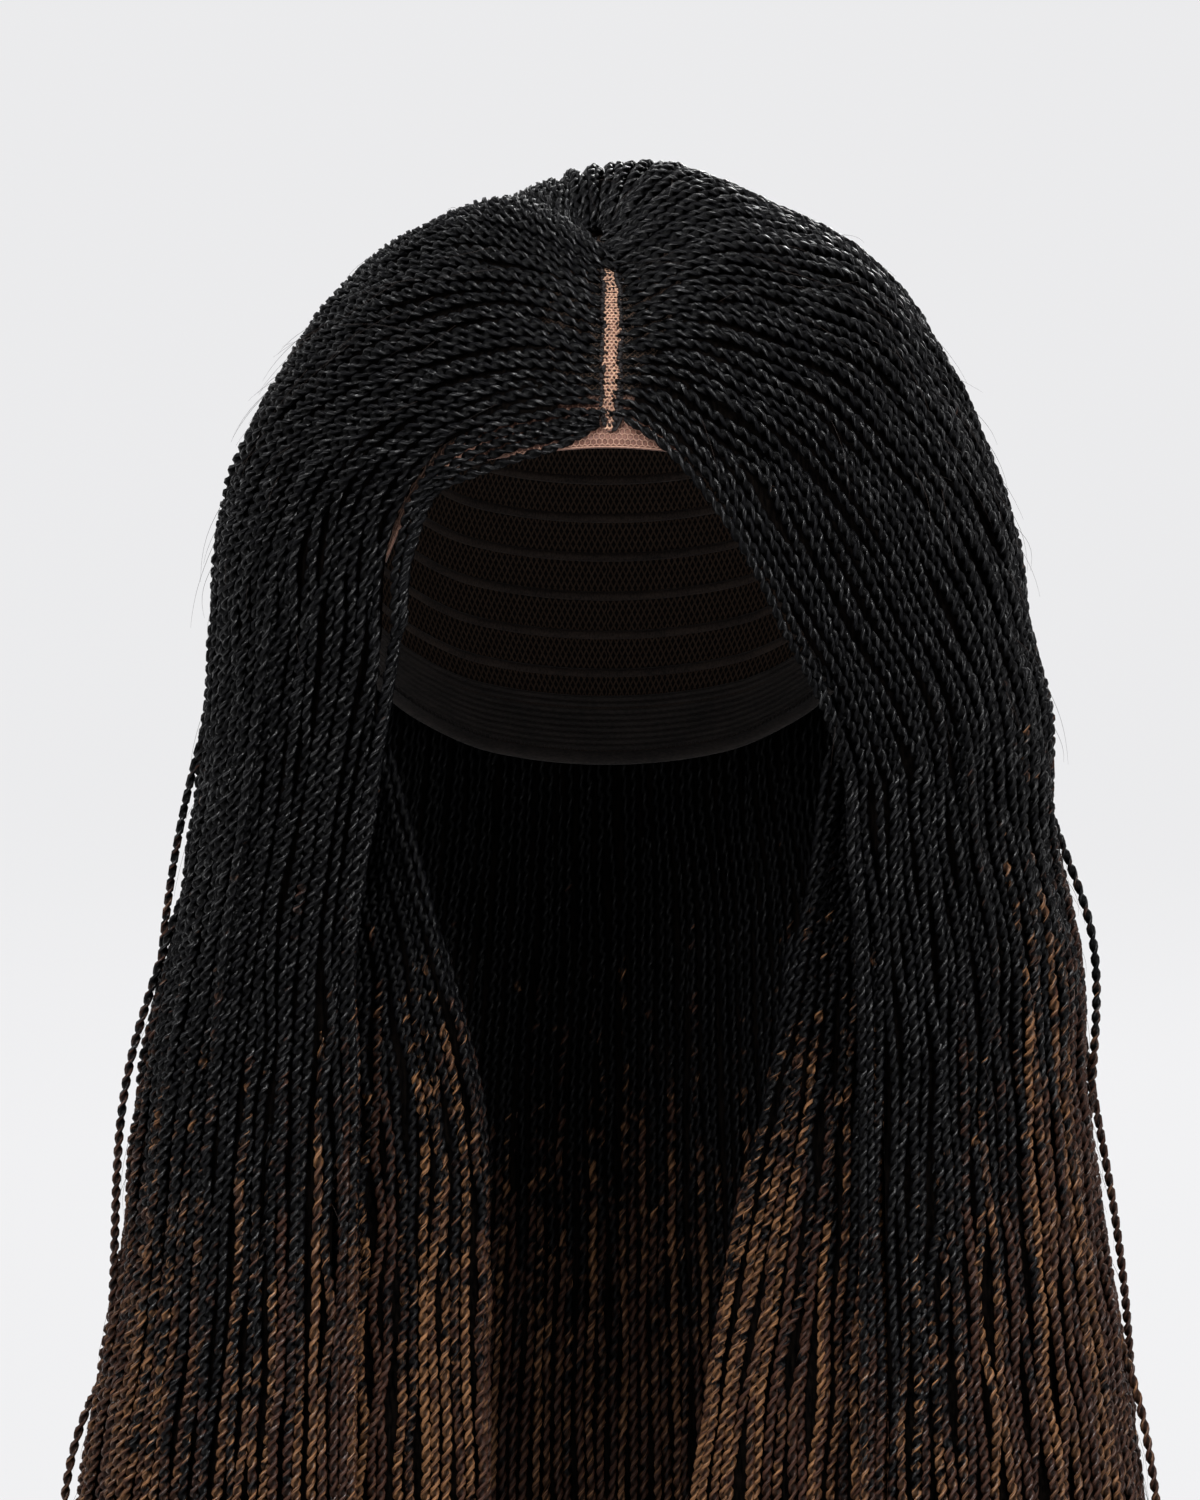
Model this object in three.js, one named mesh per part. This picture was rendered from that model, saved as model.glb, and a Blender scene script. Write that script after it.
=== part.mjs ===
// A braid wig: a sewn cap with a lace hairline and a lace parting, and bundles of fine twists that fall on both
// sides of the face. Sizes are in millimetres, +Z is up and the wearer faces -Y. Left (-X) and right (+X) are those
// of someone who looks at the face. The origin is where the top of the head touches the inside of the cap.
import * as THREE from 'three';

// The head that the cap fits, as half an ellipsoid above its widest level and half a one below it
const headWidth = 150;
const headDepth = 190;
const headRise = 95;

// The cap and its lace
const capWall = 1.2;
const laceWall = 0.9;
const laceDepth = 15;
const laceTip = 2;
const laceSpan = 50; // degrees to each side of the middle of the forehead
const partingLength = 57;
const partingWidth = 6;
const partingWall = 1.1;
const partingShift = 1;
const rootSetback = 4;
const swirlGap = 16;
const swirlRadius = 4.5;
const swirlShift = -3;

// The hair
const hairLength = 390;
const hairWidth = 295;
const faceWidth = 134;
const frontReach = 82;
const backReach = 112;
const crownLoft = 19;
const rootThickness = 2.8;
const curtainThickness = 23;
const edgeThickness = 7.5;
const neckWidth = 58;
const innerThickness = 12;
const endStagger = 16;
const locksPerSide = 13;
const lockGroove = 2.2;

// Clearances: between sewn edges, between neighbouring locks, and under what rests on the cap
const seamGap = 0.35;
const lockGap = 0.45;
const seatGap = 0.8;

// How finely each piece is faceted
const capColumns = 36;
const capRows = 8;
const partingSteps = 9;
const archSteps = 12;
const hangSteps = 8;

const degrees = Math.PI / 180;
const meridian = headRise; // radius of the head's outline over its top, for lengths laid along it

// Makes rows with named columns; the first column is the key that the rows are looked up by.
function table(columns, ...rows) {
  return rows.map((row) => Object.fromEntries(columns.map((name, i) => [name, row[i]])));
}

// Reads one column of a table at a key, with a smooth cubic from row to row that is level at both ends.
function read(rows, column, key) {
  const by = Object.keys(rows[0])[0];
  const last = rows.length - 1;
  const at = THREE.MathUtils.clamp(key, rows[0][by], rows[last][by]);
  let i = 0;
  while (i < last - 1 && at > rows[i + 1][by]) i += 1;
  const slope = (j) => {
    if (j === 0 || j === last) return 0;
    return (rows[j + 1][column] - rows[j - 1][column]) / (rows[j + 1][by] - rows[j - 1][by]);
  };
  const span = rows[i + 1][by] - rows[i][by];
  const f = (at - rows[i][by]) / span;
  const rise = rows[i + 1][column] - rows[i][column];
  const ease = f * f * (3 - 2 * f);
  return rows[i][column] + rise * ease
    + span * (slope(i) * f * (1 - f) ** 2 - slope(i + 1) * f * f * (1 - f));
}

// The cap's rim, from the forehead (0) round the ear (90) to the nape (180): degrees down from the top
const rim = table(
  ['azimuth', 'polar'],
  [0, 66],
  [20, 67.5],
  [35, 70.5],
  [45, 78],
  [55, 92],
  [70, 100],
  [90, 101],
  [110, 106],
  [130, 116],
  [150, 123],
  [180, 126],
);

// The hair's outline by level, a share of hairLength below the top. The widths are shares of half hairWidth, the
// edges of half faceWidth, and ahead, widest and behind of frontReach, of frontReach and of backReach.
const curtain = table(
  ['level', 'left', 'right', 'leftEdge', 'rightEdge', 'ahead', 'widest', 'behind'],
  [0.26, 0.715, 0.76, 0.81, 0.93, 0.86, 0.14, 1],
  [0.33, 0.727, 0.795, 0.87, 0.93, 0.83, 0.15, 0.995],
  [0.41, 0.755, 0.81, 0.94, 0.945, 0.79, 0.16, 0.985],
  [0.49, 0.795, 0.86, 1, 0.985, 0.75, 0.18, 0.97],
  [0.59, 0.855, 0.875, 0.99, 1, 0.732, 0.2, 0.95],
  [0.72, 0.892, 0.922, 1, 1, 0.805, 0.24, 0.93],
  [0.86, 0.963, 0.976, 1, 1, 0.927, 0.26, 0.93],
  [1, 0.99, 1.01, 1, 1, 1, 0.26, 0.93],
);

// How the hair leaves the head, from the front edge (0) to the middle of the back (1). The shoulder is the level
// where it turns down, a share of hairLength; the fullness is the exponent of the curve over the head, where 2
// is an ellipse; the loft is a share of crownLoft; the sweep is how late the hair turns back or ahead, where 1
// would run straight in plan.
const leftFall = table(
  ['around', 'shoulder', 'fullness', 'loft', 'sweep'],
  [0, 0.27, 2.8, 0.19, 4],
  [0.12, 0.28, 2.5, 0.36, 2.2],
  [0.3, 0.3, 2.45, 0.66, 1.6],
  [0.5, 0.29, 2.4, 0.76, 1.35],
  [0.75, 0.265, 2.3, 0.76, 1.35],
  [1, 0.24, 2.2, 1, 1.35],
);
const rightFall = table(
  ['around', 'shoulder', 'fullness', 'loft', 'sweep'],
  [0, 0.37, 1.28, 0.25, 3.4],
  [0.12, 0.36, 1.8, 0.42, 2.4],
  [0.3, 0.34, 2.4, 0.78, 1.6],
  [0.5, 0.32, 2.55, 0.92, 1.35],
  [0.75, 0.27, 2.3, 1.08, 1.35],
  [1, 0.24, 2.2, 1, 1.35],
);

// The deeper hair beside the neck, by level. The inner edge is a share of half neckWidth, the outer edge of half
// headWidth, ahead is a share of frontReach and deep of innerThickness.
const innerFall = table(
  ['level', 'leftInner', 'rightInner', 'outer', 'innerAhead', 'outerAhead', 'deep'],
  [0.26, 2.28, 2.28, 0.97, 0.5, 0.2, 0.3],
  [0.38, 2.0, 2.07, 0.97, 0.55, 0.3, 0.45],
  [0.5, 1.5, 1.75, 0.975, 0.6, 0.47, 0.67],
  [0.6, 1.15, 1.4, 0.985, 0.59, 0.56, 0.92],
  [0.72, 1.1, 1.06, 1, 0.66, 0.66, 1],
  [0.86, 1.08, 0.77, 1, 0.78, 0.78, 1],
  [1, 1.07, 0.72, 1, 0.85, 0.85, 0.92],
);

// Shares of a side's way round: from the front edge to where the hair is widest, to where it stops starting along
// the parting, and to where it has its full thickness
const frontShare = 0.26;
const partingShare = 0.46;
const edgeShare = 0.22;

// Shapes that go by themselves: how far out the hair has risen to its loft, how much of its thickness it keeps to
// the end, how much it thickens on its way over the head, and how much of its section is left at its tip
const riseShare = 0.32;
const endShare = 0.8;
const coverGrowth = 1.25;
const tipShare = 0.75;
const grooveShare = 0.35; // of the hair's thickness, where that makes the groove shallower
const groovePower = 2.2;
const stepPower = 1.4; // closes up the steps of the hanging hair towards the head
const capLevel = 0.4; // share of hairLength down to which the deeper hair may touch the cap

const frontPolar = read(rim, 'polar', 0) * degrees - rootSetback / meridian;
const backPolar = frontPolar - partingLength / meridian;
const rootOffset = partingWidth / 2 + seamGap;
const swirlPolar = backPolar - swirlGap / meridian;

// The point of the head, grown outwards, at an azimuth from the front and an angle down from the top.
function headPoint(azimuth, polar, out) {
  return new THREE.Vector3(
    (headWidth / 2 + out) * Math.sin(azimuth) * Math.sin(polar),
    -(headDepth / 2 + out) * Math.cos(azimuth) * Math.sin(polar),
    (headRise + out) * Math.cos(polar) - headRise,
  );
}

// The level of the head's upper half, grown outwards, above a point of the plan.
function headLevel(x, y, out) {
  const reach = (x / (headWidth / 2 + out)) ** 2 + (y / (headDepth / 2 + out)) ** 2;
  return (headRise + out) * Math.sqrt(Math.max(0, 1 - reach)) - headRise;
}

// Moves a point that is nearer to the head than a distance out to that distance.
function keepOffHead(point, out) {
  const f = Math.hypot(
    point.x / (headWidth / 2 + out),
    point.y / (headDepth / 2 + out),
    (point.z + headRise) / (headRise + out),
  );
  if (f >= 1) return point;
  return new THREE.Vector3(point.x / f, point.y / f, (point.z + headRise) / f - headRise);
}

// Where the hair starts on the cap, in plan: along the parting, then round the swirl behind it. The turn is -1 at
// the front edge on the -X side, 0 in the middle of the back and 1 at the front edge on the +X side.
function rootPlan(turn) {
  const side = turn < 0 ? -1 : 1;
  const around = 1 - Math.abs(turn);
  const reach = headDepth / 2 + capWall;
  if (around <= partingShare) {
    const polar = THREE.MathUtils.lerp(frontPolar, backPolar, around / partingShare);
    return [partingShift + side * rootOffset, -reach * Math.sin(polar)];
  }
  const backY = -reach * Math.sin(backPolar);
  const swirlY = -reach * Math.sin(swirlPolar);
  const straight = swirlY - backY;
  const f = (around - partingShare) / (1 - partingShare);
  const run = f * (straight + (Math.PI / 2) * swirlRadius);
  if (run < straight) {
    const fromX = partingShift + side * rootOffset;
    const toX = swirlShift + side * swirlRadius;
    return [THREE.MathUtils.lerp(fromX, toX, run / straight), backY + run];
  }
  const angle = (run - straight) / swirlRadius;
  return [swirlShift + side * swirlRadius * Math.cos(angle), swirlY + swirlRadius * Math.sin(angle)];
}

// The plan of the hanging hair at a level: a quarter ellipse from the front edge to the widest place, and another
// one from there to the middle of the back.
function curtainPlan(turn, z) {
  const side = turn < 0 ? 'left' : 'right';
  const sign = turn < 0 ? -1 : 1;
  const around = 1 - Math.abs(turn);
  const level = -z / hairLength;
  const widest = (read(curtain, side, level) * hairWidth) / 2;
  const widestY = -read(curtain, 'widest', level) * frontReach;
  if (around < frontShare) {
    const angle = (Math.PI / 2) * (around / frontShare);
    const edge = (read(curtain, side + 'Edge', level) * faceWidth) / 2;
    const frontY = -read(curtain, 'ahead', level) * frontReach;
    return [
      sign * (edge + (widest - edge) * Math.sin(angle)),
      widestY + (frontY - widestY) * Math.cos(angle),
    ];
  }
  const angle = (Math.PI / 2) * ((around - frontShare) / (1 - frontShare));
  const behind = read(curtain, 'behind', level) * backReach;
  return [sign * widest * Math.cos(angle), widestY + (behind - widestY) * Math.sin(angle)];
}

// A point of the hair's outer surface. Along is 0 at the root, 1 where the hair turns down and 2 at its end.
function hairPoint(turn, along) {
  const fall = turn < 0 ? leftFall : rightFall;
  const around = 1 - Math.abs(turn);
  const shoulder = -read(fall, 'shoulder', around) * hairLength;
  if (along > 1) {
    const z = THREE.MathUtils.lerp(shoulder, -hairLength, along - 1);
    const [x, y] = curtainPlan(turn, z);
    return new THREE.Vector3(x, y, z);
  }
  const [rootX, rootY] = rootPlan(turn);
  const rootZ = headLevel(rootX, rootY, capWall) + seatGap;
  const loft = read(fall, 'loft', around) * crownLoft;
  const power = 2 / read(fall, 'fullness', around);
  const angle = (along * Math.PI) / 2;
  const out = Math.sin(angle) ** power;
  const down = 1 - Math.cos(angle) ** power;
  const z = THREE.MathUtils.lerp(rootZ + loft, shoulder, down);
  const [x, y] = curtainPlan(turn, z);
  const settle = (loft - rootThickness) * Math.max(0, 1 - out / riseShare) ** 2;
  const point = new THREE.Vector3(
    THREE.MathUtils.lerp(rootX, x, out),
    THREE.MathUtils.lerp(rootY, y, out ** read(fall, 'sweep', around)),
    z - settle,
  );
  const cover = THREE.MathUtils.lerp(rootThickness, rootThickness * coverGrowth, out);
  return keepOffHead(point, capWall + seatGap + cover);
}

// The outward direction of the hair's surface, from its slopes along and across.
function hairNormal(turn, along) {
  const step = 0.004;
  const across = new THREE.Vector3().subVectors(
    hairPoint(Math.min(1, turn + step), along),
    hairPoint(Math.max(-1, turn - step), along),
  );
  const down = new THREE.Vector3().subVectors(
    hairPoint(turn, Math.min(2, along + step)),
    hairPoint(turn, Math.max(0, along - step)),
  );
  return new THREE.Vector3().crossVectors(across, down).normalize();
}

// How thick the hair is: thin at its roots, and thinner at the edges of the face opening.
function hairThickness(turn, along) {
  const growth = THREE.MathUtils.smoothstep(Math.min(along, 1), 0, 1);
  const edge = THREE.MathUtils.smoothstep(1 - Math.abs(turn), 0, edgeShare);
  const hanging = THREE.MathUtils.lerp(edgeThickness, curtainThickness, edge);
  const thinning = THREE.MathUtils.lerp(1, endShare, Math.max(0, along - 1));
  return THREE.MathUtils.lerp(rootThickness, hanging * thinning, growth);
}

// How deep the groove beside a lock is, at a share of the lock's width.
function grooveDepth(f, thickness) {
  return Math.min(lockGroove, grooveShare * thickness) * Math.abs(2 * f - 1) ** groovePower;
}

// One section of a lock between two turns: five points of its rounded outer face, then three of its inner one.
// Its sides take their direction and depth at the turns themselves, so that they are parallel to its neighbours'.
function lockSection(from, to, along) {
  const width = hairPoint(to, along).distanceTo(hairPoint(from, along));
  const inset = (lockGap / 2) * ((to - from) / width);
  const place = (f) => {
    const turn = THREE.MathUtils.lerp(from, to, f);
    return {
      point: hairPoint(turn + inset * (1 - 2 * f), along),
      inward: hairNormal(turn, along).negate(),
      thickness: hairThickness(turn, along),
    };
  };
  const outer = [0, 0.25, 0.5, 0.75, 1].map((f) => {
    const { point, inward, thickness } = place(f);
    return point.addScaledVector(inward, grooveDepth(f, thickness));
  });
  const inner = [1, 0.5, 0].map((f) => {
    const { point, inward, thickness } = place(f);
    return keepOffHead(point.addScaledVector(inward, thickness), capWall + seatGap);
  });
  return [...outer, ...inner];
}

// Shrinks a section about its middle and lifts it, for the tapered end of a lock.
function taper(section, lift) {
  const middle = section.reduce((sum, p) => sum.add(p), new THREE.Vector3()).divideScalar(section.length);
  return section.map((p) => {
    const q = new THREE.Vector3().lerpVectors(middle, p, tipShare);
    q.z += lift;
    return q;
  });
}

// A closed body through sections of equal point counts, listed clockwise as seen along the way they run. On
// the sides named in turned, the quads are cut along their other diagonal, as their neighbour's are.
function loft(sections, turned = []) {
  const count = sections[0].length;
  const positions = sections.flatMap((section) => section.flatMap((p) => p.toArray()));
  const faces = [];
  for (let i = 0; i + 1 < sections.length; i += 1) {
    for (let j = 0; j < count; j += 1) {
      const a = i * count + j;
      const b = i * count + ((j + 1) % count);
      const c = b + count;
      const d = a + count;
      if (turned.includes(j)) faces.push(a, b, d, b, c, d);
      else faces.push(a, b, c, a, c, d);
    }
  }
  for (const [first, flip] of [[0, true], [(sections.length - 1) * count, false]]) {
    const section = sections[first / count];
    const middle = section.reduce((sum, p) => sum.add(p), new THREE.Vector3()).divideScalar(count);
    const hub = positions.length / 3;
    positions.push(...middle.toArray());
    for (let j = 0; j < count; j += 1) {
      const next = first + ((j + 1) % count);
      if (flip) faces.push(hub, next, first + j);
      else faces.push(hub, first + j, next);
    }
  }
  const geometry = new THREE.BufferGeometry();
  geometry.setAttribute('position', new THREE.Float32BufferAttribute(positions, 3));
  geometry.setIndex(faces);
  return geometry;
}

// The cap's columns are counted from the front, and the lace ends at one of them on each side.
const capStep = (2 * Math.PI) / capColumns;
const lacePlaces = Math.round((laceSpan * degrees) / capStep);

// How far the lace reaches back from the rim at a column, in radians: a crescent that ends at the temples.
function laceReach(column) {
  const f = Math.abs(column) / lacePlaces;
  if (f > 1) return 0;
  return Math.max(laceTip, laceDepth * Math.sqrt(1 - f ** 2)) / meridian;
}

function rimPolar(column) {
  return read(rim, 'polar', Math.abs(column * capStep) / degrees) * degrees;
}

// The cap: an outer and an inner skin that meet at the rim, and behind the lace at the forehead.
function capGeometry() {
  const positions = [];
  const faces = [];
  for (const out of [capWall, 0]) {
    positions.push(...headPoint(0, 0, out).toArray());
    for (let i = 1; i <= capRows; i += 1) {
      for (let j = 0; j < capColumns; j += 1) {
        const column = j <= capColumns / 2 ? j : j - capColumns;
        const reach = laceReach(column);
        const edge = rimPolar(column) - reach - (reach > 0 ? seamGap / meridian : 0);
        positions.push(...headPoint(column * capStep, (edge * i) / capRows, out).toArray());
      }
    }
  }
  const skin = 1 + capRows * capColumns;
  const ring = (base, i, j) => base + 1 + (i - 1) * capColumns + (j % capColumns);
  for (const base of [0, skin]) {
    const face = (a, b, c) => (base === 0 ? faces.push(a, b, c) : faces.push(a, c, b));
    for (let j = 0; j < capColumns; j += 1) {
      face(base, ring(base, 1, j), ring(base, 1, j + 1));
      for (let i = 1; i < capRows; i += 1) {
        face(ring(base, i, j), ring(base, i + 1, j), ring(base, i + 1, j + 1));
        face(ring(base, i, j), ring(base, i + 1, j + 1), ring(base, i, j + 1));
      }
    }
  }
  for (let j = 0; j < capColumns; j += 1) {
    const [a, b] = [ring(0, capRows, j), ring(0, capRows, j + 1)];
    const [c, d] = [ring(skin, capRows, j), ring(skin, capRows, j + 1)];
    faces.push(a, c, b, b, c, d);
  }
  const geometry = new THREE.BufferGeometry();
  geometry.setAttribute('position', new THREE.Float32BufferAttribute(positions, 3));
  geometry.setIndex(faces);
  return geometry;
}

// The lace at the forehead: sections from temple to temple, each a strip from the cap's edge to the rim.
function laceGeometry() {
  const sections = [];
  for (let column = -lacePlaces; column <= lacePlaces; column += 1) {
    const low = rimPolar(column);
    const high = low - laceReach(column);
    const strip = (out) => [0, 0.5, 1].map((f) => (
      headPoint(column * capStep, THREE.MathUtils.lerp(high, low, f), out)
    ));
    sections.push([...strip(laceWall), ...strip(0).reverse()]);
  }
  return loft(sections);
}

// The lace in the parting: a strip laid on the cap, from just behind the hairline to the swirl.
function partingGeometry() {
  const sections = [];
  for (let i = 0; i <= partingSteps; i += 1) {
    const polar = THREE.MathUtils.lerp(frontPolar, backPolar, i / partingSteps);
    const across = (x, out) => {
      const reach = headDepth / 2 + out;
      const y = -reach * Math.sin(polar);
      return new THREE.Vector3(x, y, headLevel(x, y, out));
    };
    const [left, right] = [partingShift - partingWidth / 2, partingShift + partingWidth / 2];
    const bottom = capWall + seamGap;
    const top = bottom + partingWall;
    sections.push([across(left, bottom), across(left, top), across(right, top), across(right, bottom)]);
  }
  return loft(sections);
}

// A lock between two turns, from its roots to its tapered end.
function lockGeometry(from, to, lift) {
  const sections = [];
  for (let i = 0; i <= archSteps; i += 1) sections.push(lockSection(from, to, i / archSteps));
  for (let i = 1; i < hangSteps; i += 1) {
    sections.push(lockSection(from, to, 1 + (i / hangSteps) ** stepPower));
  }
  sections.push(taper(lockSection(from, to, 2), lift));
  return loft(sections, [7]);
}

// A section of the deeper hair on one side, between two shares of its width counted from the neck.
function innerSection(side, from, to, level) {
  const sign = side === 'left' ? -1 : 1;
  const inner = (read(innerFall, side + 'Inner', level) * neckWidth) / 2;
  const outer = (read(innerFall, 'outer', level) * headWidth) / 2;
  const thickness = read(innerFall, 'deep', level) * innerThickness;
  const point = (f, depth) => {
    const ahead = THREE.MathUtils.lerp(
      read(innerFall, 'innerAhead', level), read(innerFall, 'outerAhead', level), f,
    );
    const x = THREE.MathUtils.lerp(inner, outer, f);
    const groove = grooveDepth((f - from) / (to - from), thickness);
    const y = -ahead * frontReach + (depth > 0 ? thickness : groove);
    const under = capWall + seatGap + (depth > 0 ? 0 : thickness - groove);
    return keepOffHead(new THREE.Vector3(sign * x, y, -level * hairLength), level < capLevel ? under : 0);
  };
  const inset = lockGap / 2 / (outer - inner);
  const [start, end] = [from + inset, to - inset];
  const across = (f) => THREE.MathUtils.lerp(start, end, f);
  const front = [0, 0.25, 0.5, 0.75, 1].map((f) => point(across(f), 0));
  const back = [1, 0.5, 0].map((f) => point(across(f), 1));
  const section = [...front, ...back];
  return side === 'right' ? section.reverse() : section;
}

// A lock of the deeper hair, from the cap's rim down to its tapered end.
function innerLockGeometry(side, from, to, lift) {
  const steps = archSteps + 2;
  const top = innerFall[0].level;
  const levels = Array.from({ length: steps }, (_, i) => THREE.MathUtils.lerp(top, 1, i / steps));
  const sections = levels.map((level) => innerSection(side, from, to, level));
  sections.push(taper(innerSection(side, from, to, 1), lift));
  return loft(sections, [7]);
}

function material(color, roughness) {
  return new THREE.MeshStandardMaterial({ color, roughness, metalness: 0 });
}

const blackHair = '#17161a';
const brownHair = '#4a3022';
const tanLace = '#b98c68';
const netCap = '#2b221d';

const wig = new THREE.Group();

function add(name, geometry, color, roughness) {
  const mesh = new THREE.Mesh(geometry, material(color, roughness));
  mesh.name = name;
  wig.add(mesh);
}

// How far a lock ends above the longest one: uneven, as such ends are, and the same each time.
function endLift(index) {
  return endStagger * (((index * 5) % 7) / 7);
}

add('cap', capGeometry(), netCap, 0.85);
add('lace_front', laceGeometry(), tanLace, 0.8);
add('parting_lace', partingGeometry(), tanLace, 0.8);
for (let i = 0; i < locksPerSide; i += 1) {
  const near = i / locksPerSide;
  const far = (i + 1) / locksPerSide;
  add('lock_left_' + (i + 1), lockGeometry(near - 1, far - 1, endLift(i)), blackHair, 0.5);
  add('lock_right_' + (i + 1), lockGeometry(1 - far, 1 - near, endLift(i + 3)), blackHair, 0.5);
}
for (const side of ['left', 'right']) {
  for (const i of [0, 1]) {
    const lift = endLift(i + (side === 'left' ? 1 : 4));
    const geometry = innerLockGeometry(side, i / 2, (i + 1) / 2, lift);
    add('inner_lock_' + side + '_' + (i + 1), geometry, brownHair, 0.55);
  }
}

export default wig;
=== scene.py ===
import math

import bpy
import numpy as np
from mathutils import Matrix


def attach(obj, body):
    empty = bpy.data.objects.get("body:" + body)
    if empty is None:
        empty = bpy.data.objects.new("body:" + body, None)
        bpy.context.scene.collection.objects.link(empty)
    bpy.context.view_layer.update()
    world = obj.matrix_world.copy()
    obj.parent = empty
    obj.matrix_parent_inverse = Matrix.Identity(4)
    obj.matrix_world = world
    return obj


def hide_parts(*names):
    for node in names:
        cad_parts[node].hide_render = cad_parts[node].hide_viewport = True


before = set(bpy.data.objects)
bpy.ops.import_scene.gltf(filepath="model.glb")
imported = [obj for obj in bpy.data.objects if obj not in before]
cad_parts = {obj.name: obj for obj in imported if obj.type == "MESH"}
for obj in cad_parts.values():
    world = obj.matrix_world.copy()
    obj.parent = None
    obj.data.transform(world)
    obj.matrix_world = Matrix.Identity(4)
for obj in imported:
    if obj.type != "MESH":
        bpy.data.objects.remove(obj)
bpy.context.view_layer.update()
millimetre = 0.001
halfPi = math.pi / 2
goldenShare = 0.6180339887
dice = np.random.default_rng(20)


# The form of the hair, as the part has it

dome = {"width": 150, "depth": 190, "rise": 95}
halfDome = np.array([dome["width"] / 2, dome["depth"] / 2, dome["rise"]])
domeMiddle = np.array([0, 0, -dome["rise"]])
cap = {
    "wall": 1.2, "seat": 0.8, "laceWall": 0.9, "laceDepth": 15, "laceTip": 2, "laceSpan": 50,
    "partingLength": 57, "partingWidth": 6, "partingWall": 1.1, "partingShift": 1, "rootSetback": 4,
    "swirlGap": 16, "swirlRadius": 4.5, "swirlShift": -3, "seamGap": 0.35,
}
hair = {
    "length": 390, "width": 295, "openingWidth": 134, "frontReach": 82, "backReach": 112, "loft": 19,
    "rootThickness": 2.8, "thickness": 23, "edgeThickness": 7.5, "gapWidth": 58, "innerThickness": 12,
    "frontShare": 0.26, "partingShare": 0.46, "edgeShare": 0.22, "riseShare": 0.32, "endShare": 0.8,
    "coverGrowth": 1.25,
}

# The cap's rim: azimuth from the front, degrees down from the top
rimRows = np.array([
    [0, 66], [20, 67.5], [35, 70.5], [45, 78], [55, 92], [70, 100], [90, 101], [110, 106], [130, 116],
    [150, 123], [180, 126],
], float)
# The hair's outline: level, left, right, left edge, right edge, ahead, widest, behind
curtainRows = np.array([
    [0.26, 0.715, 0.76, 0.81, 0.93, 0.86, 0.14, 1],
    [0.33, 0.727, 0.795, 0.87, 0.93, 0.83, 0.15, 0.995],
    [0.41, 0.755, 0.81, 0.94, 0.945, 0.79, 0.16, 0.985],
    [0.49, 0.795, 0.86, 1, 0.985, 0.75, 0.18, 0.97],
    [0.59, 0.855, 0.875, 0.99, 1, 0.732, 0.2, 0.95],
    [0.72, 0.892, 0.922, 1, 1, 0.805, 0.24, 0.93],
    [0.86, 0.963, 0.976, 1, 1, 0.927, 0.26, 0.93],
    [1, 0.99, 1.01, 1, 1, 1, 0.26, 0.93],
])
# How much fuller the crown is: degrees from straight up towards the sides, millimetres
fullRows = np.array([
    [-100, 0.5], [-88, 1.8], [-72, 2.3], [-60, 3.4], [-48, 5], [-32, 5.9], [-24, 5.4], [-16, 3.8], [-8, 2.8],
    [0, 2.6], [8, 3.8], [16, 3.6], [24, 3.4], [32, 5], [40, 5.6], [48, 5.1], [56, 3.8], [64, 3.2], [72, 2.6],
    [88, 3.2], [100, 2.5],
], float)
# The middle that it grows away from, and where it sets in and fades: along a twist, by level, front and back
fuller = {"middle": 91, "along": (0.02, 0.2), "level": (-190, -100), "front": (-76, -36), "back": (36, 88)}
# How the hair leaves the cap: way round, shoulder, fullness, loft, sweep
leftRows = np.array([
    [0, 0.27, 2.8, 0.19, 4], [0.12, 0.28, 2.5, 0.36, 2.2], [0.3, 0.3, 2.45, 0.66, 1.6],
    [0.5, 0.29, 2.4, 0.76, 1.35], [0.75, 0.265, 2.3, 0.76, 1.35], [1, 0.24, 2.2, 1, 1.35],
])
rightRows = np.array([
    [0, 0.37, 1.28, 0.25, 3.4], [0.12, 0.36, 1.8, 0.42, 2.4], [0.3, 0.34, 2.4, 0.78, 1.6],
    [0.5, 0.32, 2.55, 0.92, 1.35], [0.75, 0.27, 2.3, 1.08, 1.35], [1, 0.24, 2.2, 1, 1.35],
])
# The deeper hair: level, left inner, right inner, outer, inner ahead, outer ahead, deep
innerRows = np.array([
    [0.26, 2.28, 2.28, 0.97, 0.5, 0.2, 0.3],
    [0.38, 2, 2.07, 0.97, 0.55, 0.3, 0.45],
    [0.5, 1.5, 1.75, 0.975, 0.6, 0.47, 0.67],
    [0.6, 1.15, 1.4, 0.985, 0.59, 0.56, 0.92],
    [0.72, 1.1, 1.06, 1, 0.66, 0.66, 1],
    [0.86, 1.08, 0.77, 1, 0.78, 0.78, 1],
    [1, 1.07, 0.72, 1, 0.85, 0.85, 0.92],
])


def readRows(rows, column, key):
    # a smooth cubic from row to row, sloped as its neighbours are and level at both ends
    keys, values = rows[:, 0], rows[:, column]
    slopes = np.zeros(len(keys))
    slopes[1:-1] = (values[2:] - values[:-2]) / (keys[2:] - keys[:-2])
    at = np.clip(key, keys[0], keys[-1])
    i = np.clip(np.searchsorted(keys, at, side="right") - 1, 0, len(keys) - 2)
    span = keys[i + 1] - keys[i]
    f = (at - keys[i]) / span
    rise = values[i + 1] - values[i]
    bend = slopes[i] * f * (1 - f) ** 2 - slopes[i + 1] * f * f * (1 - f)
    return values[i] + rise * f * f * (3 - 2 * f) + span * bend


def mix(a, b, f):
    return a + (b - a) * f


def smooth(a, b, x):
    # 0 below a, 1 above b and an even curve between them
    f = np.clip((x - a) / (b - a), 0, 1)
    return f * f * (3 - 2 * f)


def unit(v):
    return v / np.maximum(np.linalg.norm(v, axis=-1, keepdims=True), 1e-9)


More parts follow.
